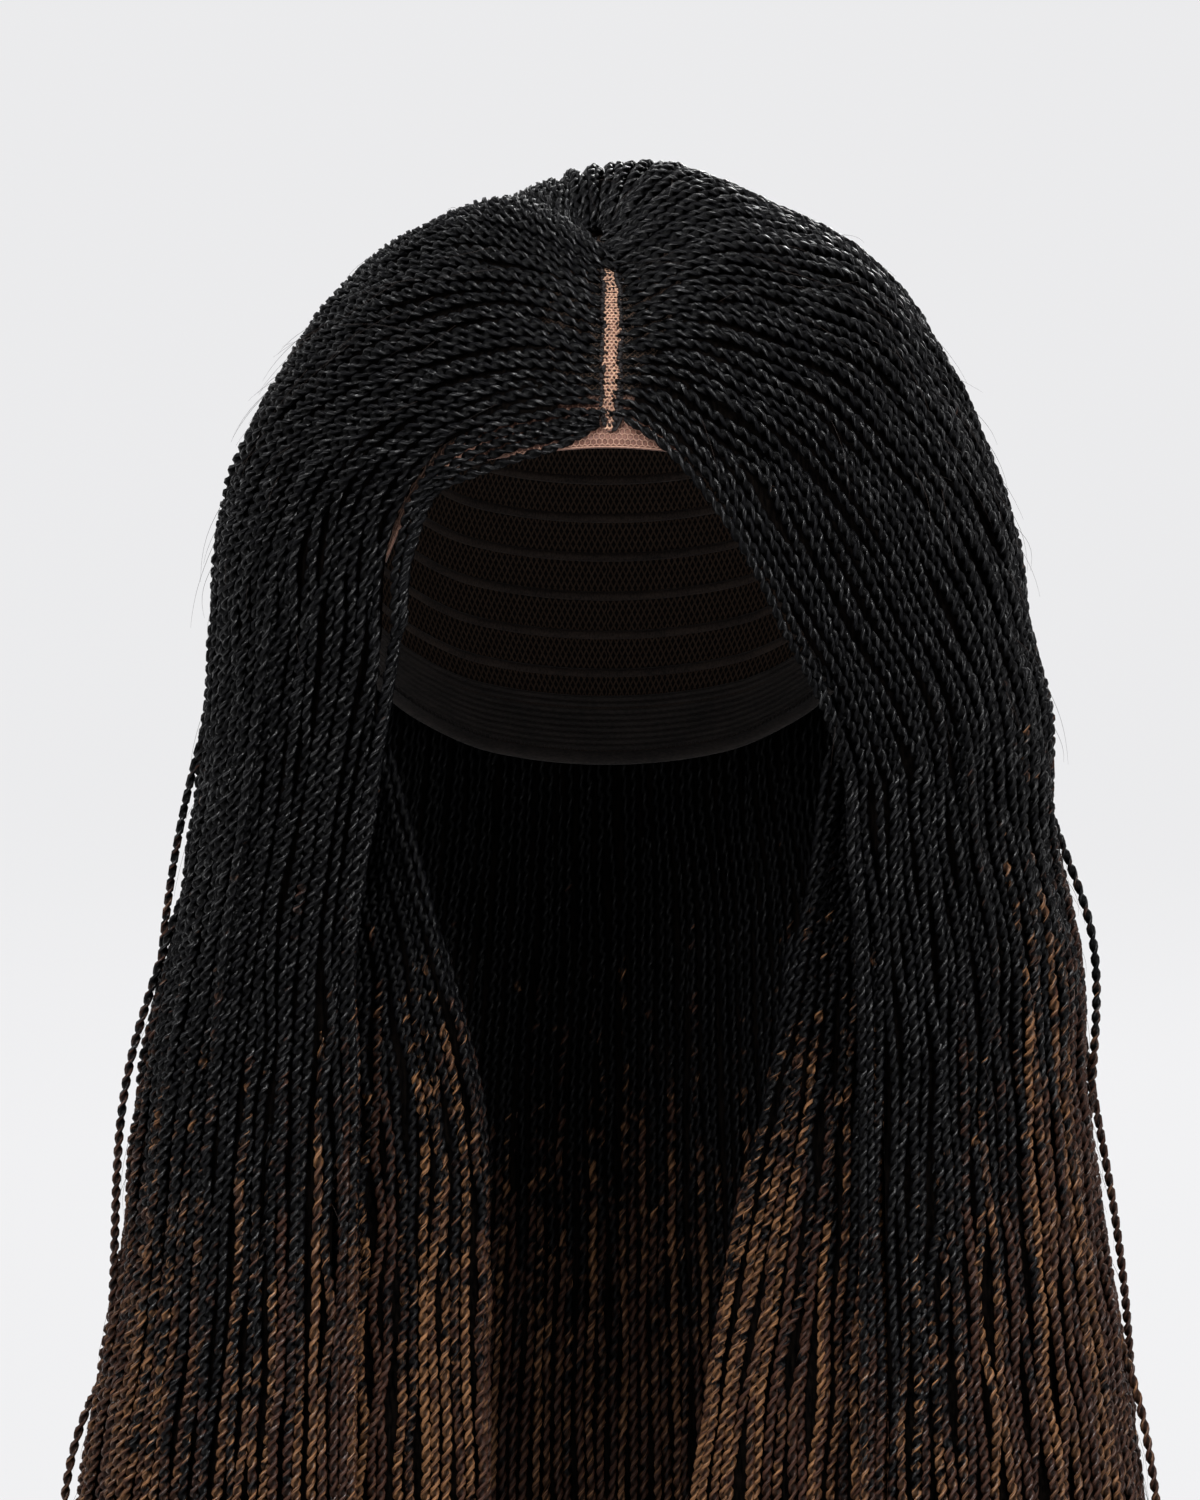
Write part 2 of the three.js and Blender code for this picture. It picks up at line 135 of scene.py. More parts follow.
def domePoint(azimuth, polar, out):
    # the dome grown outwards: azimuth from the front and polar angle down from the top, both in radians
    return np.stack([
        (halfDome[0] + out) * np.sin(azimuth) * np.sin(polar),
        -(halfDome[1] + out) * np.cos(azimuth) * np.sin(polar),
        (halfDome[2] + out) * np.cos(polar) - halfDome[2],
    ], -1)


def domeLevel(x, y, out):
    # the height of the grown dome's upper half over a point of the plan
    reach = (x / (halfDome[0] + out)) ** 2 + (y / (halfDome[1] + out)) ** 2
    return (dome["rise"] + out) * np.sqrt(np.maximum(0, 1 - reach)) - dome["rise"]


def keepOffDome(points, out):
    # moves points inside the grown dome straight out to it
    out = np.broadcast_to(out, points.shape[:-1])
    scales = halfDome + out[..., None]
    centred = points - domeMiddle
    f = np.minimum(1, np.linalg.norm(centred / scales, axis=-1, keepdims=True))
    return centred / np.maximum(f, 1e-6) + domeMiddle


frontPolar = math.radians(rimRows[0, 1]) - cap["rootSetback"] / dome["rise"]
backPolar = frontPolar - cap["partingLength"] / dome["rise"]
swirlPolar = backPolar - cap["swirlGap"] / dome["rise"]
rootOffset = cap["partingWidth"] / 2 + cap["seamGap"]


def rootPlan(turn):
    # along the parting, then back to the swirl and a quarter of the way round behind it
    side = np.where(turn < 0, -1.0, 1.0)
    around = 1 - np.abs(turn)
    reach = dome["depth"] / 2 + cap["wall"]
    polar = mix(frontPolar, backPolar, np.clip(around / hair["partingShare"], 0, 1))
    backY, swirlY = -reach * math.sin(backPolar), -reach * math.sin(swirlPolar)
    radius = cap["swirlRadius"]
    straight = swirlY - backY
    f = np.clip((around - hair["partingShare"]) / (1 - hair["partingShare"]), 0, 1)
    run = f * (straight + halfPi * radius)
    angle = np.maximum(0, run - straight) / radius
    x = np.where(
        around <= hair["partingShare"], cap["partingShift"] + side * rootOffset,
        np.where(
            run < straight,
            mix(cap["partingShift"] + side * rootOffset, cap["swirlShift"] + side * radius, run / straight),
            cap["swirlShift"] + side * radius * np.cos(angle),
        ),
    )
    y = np.where(
        around <= hair["partingShare"], -reach * np.sin(polar),
        np.where(run < straight, backY + run, swirlY + radius * np.sin(angle)),
    )
    return x, y


def curtainPlan(turn, z):
    # a quarter ellipse from the front edge to the widest place, and one from there to the middle of the back
    around = 1 - np.abs(turn)
    level = -z / hair["length"]
    left = turn < 0
    sign = np.where(left, -1.0, 1.0)
    wideLeft, wideRight, edgeLeft, edgeRight = (readRows(curtainRows, k, level) for k in (1, 2, 3, 4))
    widest = np.where(left, wideLeft, wideRight) * hair["width"] / 2
    edge = np.where(left, edgeLeft, edgeRight) * hair["openingWidth"] / 2
    frontY = -readRows(curtainRows, 5, level) * hair["frontReach"]
    widestY = -readRows(curtainRows, 6, level) * hair["frontReach"]
    behind = readRows(curtainRows, 7, level) * hair["backReach"]
    inFront = around < hair["frontShare"]
    near = halfPi * np.clip(around / hair["frontShare"], 0, 1)
    far = halfPi * np.clip((around - hair["frontShare"]) / (1 - hair["frontShare"]), 0, 1)
    x = sign * np.where(inFront, edge + (widest - edge) * np.sin(near), widest * np.cos(far))
    y = widestY + np.where(inFront, (frontY - widestY) * np.cos(near), (behind - widestY) * np.sin(far))
    return x, y


def fallValue(column, turn):
    around = 1 - np.abs(turn)
    return np.where(turn < 0, readRows(leftRows, column, around), readRows(rightRows, column, around))


def hairPoint(turn, along):
    # the outer surface: turn -1 and 1 are the front edges and 0 the middle of the back; along is 0 at the
    # root, 1 where the hair turns down and 2 at its end. Over the cap it is a quarter of a superellipse
    turn, along = np.broadcast_arrays(np.asarray(turn, float), np.asarray(along, float))
    shoulder = -fallValue(1, turn) * hair["length"]
    rootX, rootY = rootPlan(turn)
    rootZ = domeLevel(rootX, rootY, cap["wall"]) + cap["seat"]
    loft = fallValue(3, turn) * hair["loft"]
    power = 2 / fallValue(2, turn)
    angle = np.clip(along, 0, 1) * halfPi
    out = np.sin(angle) ** power
    down = 1 - np.maximum(np.cos(angle), 0) ** power
    z = np.where(along > 1, mix(shoulder, -hair["length"], along - 1), mix(rootZ + loft, shoulder, down))
    x, y = curtainPlan(turn, z)
    settle = (loft - hair["rootThickness"]) * np.maximum(0, 1 - out / hair["riseShare"]) ** 2
    arch = np.stack([mix(rootX, x, out), mix(rootY, y, out ** fallValue(4, turn)), z - settle], -1)
    cover = mix(hair["rootThickness"], hair["rootThickness"] * hair["coverGrowth"], out)
    arch = keepOffDome(arch, cap["wall"] + cap["seat"] + cover)
    point = np.where(along[..., None] > 1, np.stack([x, y, z], -1), arch)
    # the twists stand a little fuller over the crown than the plain solids
    spoke = point + np.array([0, 0, fuller["middle"]])
    full = np.interp(np.degrees(np.arctan2(point[..., 0], spoke[..., 2])), fullRows[:, 0], fullRows[:, 1])
    full = full * smooth(*fuller["along"], along) * smooth(*fuller["level"], point[..., 2])
    full = full * smooth(*fuller["front"], point[..., 1]) * (1 - smooth(*fuller["back"], point[..., 1]))
    return point + unit(spoke) * full[..., None]


def hairFrame(turn, along):
    # the surface's point, its outward direction and its direction towards a greater turn, from its slopes
    step = 0.004
    turn, along = np.broadcast_arrays(np.asarray(turn, float), np.asarray(along, float))
    across = hairPoint(np.minimum(1, turn + step), along) - hairPoint(np.maximum(-1, turn - step), along)
    down = hairPoint(turn, np.minimum(2, along + step)) - hairPoint(turn, np.maximum(0, along - step))
    return hairPoint(turn, along), unit(np.cross(across, down)), unit(across)


def hairThickness(turn, along):
    # thin at the roots, thinner at the edges of the front opening, and a little thinner again at the ends
    growth = smooth(0, 1, np.minimum(along, 1))
    edge = smooth(0, hair["edgeShare"], 1 - np.abs(turn))
    ends = mix(1, hair["endShare"], np.maximum(0, along - 1))
    hanging = mix(hair["edgeThickness"], hair["thickness"], edge) * ends
    return mix(hair["rootThickness"], hanging, growth)


def innerFrame(sign, f, level):
    # the front of the deeper hair on one side: f is 0 at the inner edge and 1 at the outer edge
    def point(f, level):
        inner = readRows(innerRows, 1 if sign < 0 else 2, level) * hair["gapWidth"] / 2
        outer = readRows(innerRows, 3, level) * dome["width"] / 2
        ahead = mix(readRows(innerRows, 4, level), readRows(innerRows, 5, level), f) * hair["frontReach"]
        return np.stack([sign * mix(inner, outer, f), -ahead, -level * hair["length"]], -1)

    f, level = np.broadcast_arrays(np.asarray(f, float), np.asarray(level, float))
    across = point(f + 0.01, level) - point(f - 0.01, level)
    down = point(f, np.minimum(1, level + 0.01)) - point(f, np.maximum(0.26, level - 0.01))
    normal = unit(np.cross(across, down)) * -sign
    normal = np.where(normal[..., 1:2] > 0, -normal, normal)
    return point(f, level), normal, unit(across)


def addMesh(name, vertices, quads, triangles, material, uv=None, marks=None):
    # one object from arrays: vertices in millimetres, quads and triangles, with their corners' uv in that
    # order and one vector for each vertex
    mesh = bpy.data.meshes.new(name)
    quads = np.asarray(quads, np.int32).reshape(-1, 4)
    triangles = np.asarray(triangles, np.int32).reshape(-1, 3)
    corners = np.concatenate([quads.ravel(), triangles.ravel()])
    starts = np.concatenate([np.arange(len(quads)) * 4, len(quads) * 4 + np.arange(len(triangles)) * 3])
    mesh.vertices.add(len(vertices))
    mesh.vertices.foreach_set("co", (np.asarray(vertices, np.float32) * millimetre).ravel())
    mesh.loops.add(len(corners))
    mesh.loops.foreach_set("vertex_index", corners)
    mesh.polygons.add(len(starts))
    mesh.polygons.foreach_set("loop_start", starts.astype(np.int32))
    mesh.update(calc_edges=True)
    if uv is not None:
        layer = mesh.uv_layers.new(name="along")
        layer.data.foreach_set("uv", np.asarray(uv, np.float32).ravel())
    if marks is not None:
        mesh.attributes.new("marks", "FLOAT_VECTOR", "POINT").data.foreach_set(
            "vector", np.asarray(marks, np.float32).ravel()
        )
    mesh.validate()
    mesh.shade_smooth()
    mesh.materials.append(material)
    piece = bpy.data.objects.new(name, mesh)
    bpy.context.scene.collection.objects.link(piece)
    return piece


def tubeFaces(rings, sides, start):
    # the quads between rings of a tube and the triangles to a pole at each end; the poles follow the rings
    i, j = np.meshgrid(np.arange(rings - 1), np.arange(sides), indexing="ij")
    k, near, far = (j + 1) % sides, i * sides, (i + 1) * sides
    quads = np.stack([near + j, near + k, far + k, far + j], -1).reshape(-1, 4)
    j = np.arange(sides)
    k = (j + 1) % sides
    last = (rings - 1) * sides
    first = np.stack([np.full(sides, rings * sides), k, j], -1)
    end = np.stack([np.full(sides, rings * sides + 1), last + j, last + k], -1)
    return quads + start, np.concatenate([first, end]) + start


def tubeUv(rings, places, lengths):
    # u is the place round the section, in turns, and v the length along the tube, in millimetres
    sides = len(places)
    i, j = np.meshgrid(np.arange(rings - 1), np.arange(sides), indexing="ij")
    u0 = places[j]
    u1 = np.where(j == sides - 1, places[0] + 1, places[(j + 1) % sides])
    quads = np.stack([
        np.stack([u0, lengths[i]], -1), np.stack([u1, lengths[i]], -1),
        np.stack([u1, lengths[i + 1]], -1), np.stack([u0, lengths[i + 1]], -1),
    ], 2).reshape(-1, 2)
    u = np.append(places, places[0] + 1)
    middle = (u[1:] + u[:-1]) / 2
    low, high = np.full(sides, lengths[0]), np.full(sides, lengths[-1])
    first = np.stack([np.stack([at, low], -1) for at in (middle, u[1:], u[:-1])], 1)
    end = np.stack([np.stack([at, high], -1) for at in (middle, u[:-1], u[1:])], 1)
    return quads, np.concatenate([first, end]).reshape(-1, 2)


class TubeSet:
    # gathers closed tubes, and puts them in one mesh
    def __init__(self):
        self.vertices, self.quads, self.triangles = [], [], []
        self.quadUv, self.triangleUv, self.marks, self.count = [], [], [], 0

    def add(self, rings, places, lengths, marks, poles):
        n, sides = rings.shape[:2]
        quads, triangles = tubeFaces(n, sides, self.count)
        quadUv, triangleUv = tubeUv(n, places, lengths)
        self.vertices.append(np.concatenate([rings.reshape(-1, 3), poles]))
        self.marks.append(np.concatenate([np.repeat(marks, sides, 0), marks[[0, -1]]]))
        self.quads.append(quads)
        self.triangles.append(triangles)
        self.quadUv.append(quadUv)
        self.triangleUv.append(triangleUv)
        self.count += n * sides + 2

    def mesh(self, name, material):
        piece = addMesh(
            name, np.concatenate(self.vertices), np.concatenate(self.quads), np.concatenate(self.triangles),
            material, np.concatenate([*self.quadUv, *self.triangleUv]), np.concatenate(self.marks),
        )
        faces = sum(len(q) for q in self.quads) * 2 + sum(len(t) for t in self.triangles)
        print(f"{name}: {faces} triangles")
        return piece


def readAt(at, keys, values):
    # values, one row for each key, read at other keys
    if values.ndim == 1:
        return np.interp(at, keys, values)
    return np.stack([np.interp(at, keys, values[:, k]) for k in range(values.shape[1])], -1)


def pathLengths(path):
    return np.concatenate([[0], np.cumsum(np.linalg.norm(np.diff(path, axis=0), axis=1))])


twist = {
    "radius": 1.42,  # from the middle of a twist to its outside
    "pitch": 6.7,
    "slack": 0.42,  # how much longer the winding is at the root
    "slackReach": 50,
    "spacing": 2.95,  # between neighbours at the ends
    "rootSpacing": 3.5,
    "wander": 0.62,
    "lift": 0.5,
    "bundle": 4.6,  # twists to a bundle
    "gather": 0.62,
    "taper": 7,
    "tip": 0.45,
}
# The section: two strands side by side, as radius shares and angles in turns
lobeRadii = np.array([0.95, 0.32, 0.95, 0.95, 0.32, 0.95])
lobePlaces = np.array([0.088, 0.25, 0.412, 0.588, 0.75, 0.912])
# The plainer section of those on the inside
plainRadii, plainPlaces = np.array([1.0, 0.5, 1.0, 0.5]), np.array([0, 0.25, 0.5, 0.75])


def twistTube(tubes, path, outward, marks, radius, pitch, ringsPerTurn, startShare=0.5, plain=False):
    # two strands wound right-handed round the path: the angle grows by a turn for each pitch of length, and
    # the pitch shrinks from the root on as pitch * (1 + slack * exp(-length / slackReach))
    lengths = pathLengths(path)
    local = pitch * (1 + twist["slack"] * np.exp(-lengths / twist["slackReach"]))
    wound = np.concatenate([[0], np.cumsum(np.diff(lengths) / local[1:])])
    at = np.linspace(0, wound[-1], max(4, int(wound[-1] * ringsPerTurn) + 1))
    path, outward, marks, lengths = (readAt(at, wound, v) for v in (path, outward, marks, lengths))
    ahead = unit(np.gradient(path, axis=0))
    side = unit(np.cross(ahead, outward))
    outward = np.cross(side, ahead)
    taper = mix(twist["tip"], 1, smooth(0, twist["taper"], lengths[-1] - lengths))
    size = radius * mix(startShare, 1, smooth(0, 5, lengths)) * taper
    radii, places = (plainRadii, plainPlaces) if plain else (lobeRadii, lobePlaces)
    angle = 2 * math.pi * (at[:, None] + places[None, :] + dice.uniform(0, 1))
    reach = (size[:, None] * radii[None, :])[..., None]
    up, aside = np.cos(angle)[..., None] * outward[:, None], np.sin(angle)[..., None] * side[:, None]
    rings = path[:, None] + reach * (up + aside)
    poles = np.stack([path[0] - ahead[0] * 0.3, path[-1] + ahead[-1] * 0.5])
    tubes.add(rings, places, at, marks, poles)


def dicedSize(radiusLow, radiusHigh, pitchLow, pitchHigh):
    # a twist's own radius and pitch, as shares of the usual ones
    radius = twist["radius"] * dice.uniform(radiusLow, radiusHigh)
    return radius, twist["pitch"] * dice.uniform(pitchLow, pitchHigh)


def waves(count, lengths, amplitude, longest):
    # smooth random sideways motion: three sine waves of each path's own lengths and phases
    total = np.zeros((count, len(lengths)))
    for share in (1, 0.55, 0.3):
        size = dice.normal(0, amplitude * share, (count, 1))
        wave = longest * share * dice.uniform(0.7, 1.3, (count, 1))
        phase = dice.uniform(0, 2 * math.pi, (count, 1))
        total += size * np.sin(2 * math.pi * lengths[None, :] / wave + phase)
    return total


def spread(surface, alongs, columns, need):
    # spaces the paths evenly over a surface that widens: where it is too narrow for all of them, only some of
    # the paths are on it, and the others rise to it as it widens. Gives each path's column, its share on top
    dense = np.linspace(columns[0], columns[-1], 500)
    grid = surface(dense[None, :], alongs[:, None])[0]
    steps = np.linalg.norm(np.diff(grid, axis=1), axis=2)
    arcs = np.concatenate([np.zeros((len(alongs), 1)), np.cumsum(steps, 1)], 1)
    middles = np.concatenate([[columns[0]], (columns[1:] + columns[:-1]) / 2, [columns[-1]]])
    rank = (np.arange(len(columns)) * goldenShare) % 1
    rank[0] = rank[-1] = 0
    placed, onTop = np.zeros((len(columns), len(alongs))), np.zeros((len(columns), len(alongs)))
    for row, arc in enumerate(arcs):
        width = np.diff(np.interp(middles, dense, arc))
        share = width / need[row]
        onTop[:, row] = smooth(-0.07, 0.07, share - rank)
        weight = onTop[:, row] * np.maximum(width, need[row])
        middle = np.cumsum(weight) - weight / 2
        placed[:, row] = np.interp(middle * arc[-1] / weight.sum(), arc, dense)
    kernel = np.ones(7) / 7
    padded = np.pad(placed, ((0, 0), (3, 3)), mode="edge")
    return np.stack([np.convolve(row, kernel, "valid") for row in padded]), onTop


def ombreMarks(points, starts, bronze=1.0):
    # three values for each point: how far the brown has set in, which rises by 1 in so many millimetres below
    # the twist's start; the twist's own number; and how bronze it is
    count = len(points)
    start = (starts + dice.normal(0, 24, count))[:, None]
    brown = np.clip((-points[..., 2] - start) / ombre["span"], -0.7, 0.95)
    own = np.broadcast_to(dice.uniform(0, 1, (count, 1)), brown.shape)
    shade = np.broadcast_to(dice.uniform(0, 1, (count, 1)), brown.shape) * bronze
    return np.stack([brown, own, shade], -1)


def pathMarks(points, start, bronze=1.0):
    # the same for one path
    return ombreMarks(points[None], np.array([start]), bronze)[0]


def layTwists(surface, alongs, columns, need, starts, bronze=1.0, loose=1.0, room=2.6):
    # paths on a surface, half sunk where others cover them, with their outward directions and marks.
    # Neighbours draw together in bundles, whose middles stand a little higher
    placed, onTop = spread(surface, alongs, columns, need)
    points, normals, across = surface(placed, alongs[None, :])
    lengths = np.concatenate([[0], np.cumsum(np.linalg.norm(np.diff(points, axis=1), axis=2).mean(0))])
    count = len(columns)
    free = mix(0.3, 1, smooth(0, 60, lengths))[None, :]
    k = np.arange(count)[:, None]
    drift = 1.6 * np.sin(k * 1.7) + 1.5 * np.sin(lengths[None, :] / 80 + k / 7)  # no two bundles are alike
    bundle = 2 * math.pi * k / twist["bundle"] + drift
    gather = twist["gather"] * loose
    aside = waves(count, lengths, twist["wander"] * loose, 95) - gather * np.sin(bundle)
    above = waves(count, lengths, twist["lift"] * loose, 70) + 0.6 * gather * np.cos(bundle)
    sunk = (1 - onTop) * room
    depth = twist["radius"] + 0.3 + sunk - above * free
    paths = points - normals * depth[..., None] + across * (aside * free)[..., None]
    return paths, normals, ombreMarks(points, starts, bronze), onTop


print("materials")


def newMaterial(name, **values):
    material = bpy.data.materials.new(name)
    material.use_nodes = True
    tree = material.node_tree
    shader = tree.nodes["Principled BSDF"]
    for socket, value in values.items():
        shader.inputs[socket.replace("_", " ")].default_value = value
    return material, tree, shader


def addNode(tree, kind, inputs=None, **settings):
    node = tree.nodes.new(kind)
    for key, value in settings.items():
        setattr(node, key, value)
    for key, value in (inputs or {}).items():
        if isinstance(value, bpy.types.NodeSocket):
            tree.links.new(value, node.inputs[key])
        else:
            node.inputs[key].default_value = value
    return node


def maths(tree, operation, a, b=0.0):
    return addNode(tree, "ShaderNodeMath", {0: a, 1: b}, operation=operation).outputs[0]


def mixColours(tree, factor, a, b, blend="MIX"):
    node = addNode(tree, "ShaderNodeMix", data_type="RGBA", blend_type=blend)
    for index, value in ((0, factor), (6, a), (7, b)):
        if isinstance(value, bpy.types.NodeSocket):
            tree.links.new(value, node.inputs[index])
        else:
            node.inputs[index].default_value = value
    return node.outputs[2]


def ramp(tree, value, low, high):
    span = {"Value": value, "From Min": low, "From Max": high}
    return addNode(tree, "ShaderNodeMapRange", span, interpolation_type="SMOOTHSTEP").outputs["Result"]


def addBump(tree, shader, height, strength, distance=0.0002):
    raised = addNode(tree, "ShaderNodeBump", {"Strength": strength, "Distance": distance, "Height": height})
    tree.links.new(raised.outputs[0], shader.inputs["Normal"])
    return raised


def newGroup(name, inputs, outputs):
    group = bpy.data.node_groups.new(name, "ShaderNodeTree")
    for label, kind, value in inputs:
        socket = group.interface.new_socket(name=label, in_out="INPUT", socket_type=kind)
        if value is not None:
            socket.default_value = value
    for label, kind in outputs:
        group.interface.new_socket(name=label, in_out="OUTPUT", socket_type=kind)
    return group, group.nodes.new("NodeGroupInput").outputs, group.nodes.new("NodeGroupOutput").inputs


def twistGroup():
    # fibres that run along each strand, grooves between the strands with painted shade in them, and brown
    # that sets in strand by strand and lump by lump as the first mark grows
    group, given, result = newGroup(
        "twisted fibre",
        [
            ("Along", "NodeSocketVector", None), ("Marks", "NodeSocketVector", None),
            ("Black", "NodeSocketColor", (0.0023, 0.0023, 0.0028, 1)),
            ("Brown", "NodeSocketColor", (0.034, 0.0155, 0.0105, 1)),
            ("Bronze", "NodeSocketColor", (0.155, 0.075, 0.034, 1)),
            ("Gleam", "NodeSocketFloat", 1.0),
        ],
        [
            ("Color", "NodeSocketColor"), ("Roughness", "NodeSocketFloat"), ("Coat", "NodeSocketFloat"),
            ("Height", "NodeSocketFloat"),
        ],
    )
    place = addNode(group, "ShaderNodeSeparateXYZ", {0: given["Along"]}).outputs
    mark = addNode(group, "ShaderNodeSeparateXYZ", {0: given["Marks"]}).outputs

    def add(a, b):
        return maths(group, "ADD", a, b)

    def times(a, b):
        return maths(group, "MULTIPLY", a, b)

    strand = maths(group, "GREATER_THAN", maths(group, "SINE", times(place["X"], 2 * math.pi)), 0)
    offset = add(times(mark["Y"], 61), times(strand, 7.3))

    def pattern(across, along, shift, detail):
        # noise over the strand: so many cells round it and so many to a turn
        spot = {"X": times(place["X"], across), "Y": times(place["Y"], along), "Z": add(offset, shift)}
        spot = addNode(group, "ShaderNodeCombineXYZ", spot).outputs[0]
        noise = {"Vector": spot, "Scale": 1.0, "Detail": detail, "Roughness": 0.6}
        return addNode(group, "ShaderNodeTexNoise", noise).outputs["Fac"]

    def stretched(value, size):
        # noise about its middle, made wider
        return times(maths(group, "SUBTRACT", value, 0.5), size)

    fibre = pattern(20, 1.4, 0, 3)
    gleam = pattern(14, 0.9, 40, 2)
    lump = pattern(0.6, 1.7, 80, 1)
    slow = pattern(0.0, 0.17, 120, 2)
    # cosine of twice the place is 1 in the middle of a strand and -1 in the groove
    crest = ramp(group, maths(group, "COSINE", times(place["X"], 4 * math.pi)), -1.0, 0.3)
    uneven = add(stretched(lump, 2.2), add(stretched(slow, 1.7), stretched(fibre, 1.5)))
    brown = ramp(group, add(mark["X"], uneven), 0.34, 0.62)
    tone = add(mark["Z"], stretched(pattern(0.6, 1.3, 160, 1), 2.0))
    tone = add(tone, stretched(gleam, 1.6))
    warm = mixColours(group, ramp(group, tone, 0.3, 1.1), given["Brown"], given["Bronze"])
    colour = mixColours(group, brown, given["Black"], warm)
    # each fibre's own lighter or darker tone, then painted shade: the colour falls to 0.15 of itself in the
    # groove between the two strands
    fibreToneAndGrooveShade = maths(group, "MAXIMUM", add(stretched(fibre, 3.4), 1.0), 0.15)
    fibreToneAndGrooveShade = times(fibreToneAndGrooveShade, add(times(crest, 0.85), 0.15))
    grey = addNode(group, "ShaderNodeCombineColor", {0: fibreToneAndGrooveShade, 1: fibreToneAndGrooveShade, 2: fibreToneAndGrooveShade}).outputs[0]
    group.links.new(mixColours(group, 1.0, colour, grey, "MULTIPLY"), result["Color"])
    group.links.new(add(times(fibre, 0.4), 0.22), result["Roughness"])
    streak = times(ramp(group, gleam, 0.5, 0.66), crest)
    group.links.new(times(streak, given["Gleam"]), result["Coat"])
    group.links.new(add(fibre, times(crest, 0.8)), result["Height"])
    return group


fibreGroup = twistGroup()


def twistMaterial(name, bump, **colours):
    material, tree, shader = newMaterial(name, Specular_IOR_Level=0.05, Coat_Roughness=0.29, Coat_IOR=1.5)
    group = addNode(tree, "ShaderNodeGroup", node_tree=fibreGroup)
    tree.links.new(addNode(tree, "ShaderNodeUVMap", uv_map="along").outputs[0], group.inputs["Along"])
    given = addNode(tree, "ShaderNodeAttribute", attribute_name="marks")
    tree.links.new(given.outputs["Vector"], group.inputs["Marks"])
    for key, value in colours.items():
        group.inputs[key].default_value = value
    tree.links.new(group.outputs["Color"], shader.inputs["Base Color"])
    tree.links.new(group.outputs["Roughness"], shader.inputs["Roughness"])
    tree.links.new(group.outputs["Coat"], shader.inputs["Coat Weight"])
    raised = addBump(tree, shader, group.outputs["Height"], bump, 0.0003)
    tree.links.new(raised.outputs[0], shader.inputs["Coat Normal"])
    return material


twistHair = twistMaterial("twist fibre", 0.7)
innerHair = twistMaterial("inner twist fibre", 0.6, Gleam=0.3)


def objectNoise(tree, scale, detail=2.0, stretch=(1, 1, 1)):
    place = addNode(tree, "ShaderNodeTexCoord").outputs["Object"]
    spot = addNode(tree, "ShaderNodeMapping", {"Vector": place, "Scale": stretch})
    noise = {"Vector": spot.outputs[0], "Scale": scale, "Detail": detail}
    return addNode(tree, "ShaderNodeTexNoise", noise).outputs["Fac"]


def plainCloth(name, low, high, scale, stretch, bump, **values):
    # cloth whose threads are a fine stretched noise
    material, tree, shader = newMaterial(name, **values)
    threads = objectNoise(tree, scale, 3, stretch)
    blotch = objectNoise(tree, 90)
    shade = maths(tree, "ADD", maths(tree, "MULTIPLY", threads, 0.7), maths(tree, "MULTIPLY", blotch, 0.3))
    tree.links.new(mixColours(tree, ramp(tree, shade, 0.3, 0.7), low, high), shader.inputs["Base Color"])
    addBump(tree, shader, threads, bump)
    return material


def netMaterial():
    # stretch net: two sets of crossing threads, in the piece's own uv, with dark holes between them
    material, tree, shader = newMaterial("cap net", Roughness=0.85, Specular_IOR_Level=0.12)
    along = addNode(tree, "ShaderNodeUVMap", uv_map="along").outputs[0]
    place = addNode(tree, "ShaderNodeSeparateXYZ", {0: along}).outputs
    sets = []
    for way in ("ADD", "SUBTRACT"):
        slant = maths(tree, way, place["X"], place["Y"])
        sets.append(maths(tree, "ABSOLUTE", maths(tree, "SINE", maths(tree, "MULTIPLY", slant, 1.7))))
    mask = ramp(tree, maths(tree, "MAXIMUM", *sets), 0.8, 0.96)
    thread = mixColours(tree, objectNoise(tree, 700, 2), (0.028, 0.017, 0.012, 1), (0.075, 0.048, 0.034, 1))
    tree.links.new(mixColours(tree, mask, (0.004, 0.0032, 0.003, 1), thread), shader.inputs["Base Color"])
    addBump(tree, shader, mask, 0.8, 0.0004)
    return material


def laceMaterial(name, low, high, scale):
    # lace thread or its fine ground: fibres and uneven dye
    material, tree, shader = newMaterial(name, Roughness=0.6, Sheen_Weight=0.25)
    fine = objectNoise(tree, scale, 3)
    broad = objectNoise(tree, 160, 2)
    shade = maths(tree, "ADD", maths(tree, "MULTIPLY", fine, 0.65), maths(tree, "MULTIPLY", broad, 0.35))
    tree.links.new(mixColours(tree, ramp(tree, shade, 0.35, 0.65), low, high), shader.inputs["Base Color"])
    addBump(tree, shader, fine, 0.5)
    return material


capNet = netMaterial()
laceThread = laceMaterial("lace thread", (0.21, 0.1, 0.064, 1), (0.4, 0.225, 0.155, 1), 2500)
partingThread = laceMaterial("parting thread", (0.25, 0.13, 0.08, 1), (0.52, 0.31, 0.2, 1), 1500)
laceGround = laceMaterial("lace ground", (0.1, 0.038, 0.024, 1), (0.2, 0.085, 0.055, 1), 1800)
knotFibre = plainCloth(
    "knot fibre", (0.003, 0.003, 0.003, 1), (0.014, 0.01, 0.01, 1), 1500, (1, 1, 1), 0.4, Roughness=0.5,
    Specular_IOR_Level=0.15,
)
elastic = plainCloth(
    "elastic", (0.008, 0.007, 0.007, 1), (0.035, 0.028, 0.025, 1), 900, (1, 1, 3), 0.8, Roughness=0.8,
    Specular_IOR_Level=0.2, Sheen_Weight=0.1,
)
trackTape = plainCloth(
    "track tape", (0.008, 0.006, 0.006, 1), (0.05, 0.034, 0.026, 1), 1100, (2, 2, 1), 0.7, Roughness=0.8,
    Specular_IOR_Level=0.2, Sheen_Weight=0.1,
)
underHair = plainCloth(
    "under hair", (0.0004, 0.0004, 0.0005, 1), (0.0034, 0.0026, 0.0022, 1), 420, (3, 3, 0.35), 1.0,
    Roughness=0.8, Specular_IOR_Level=0.0,
)
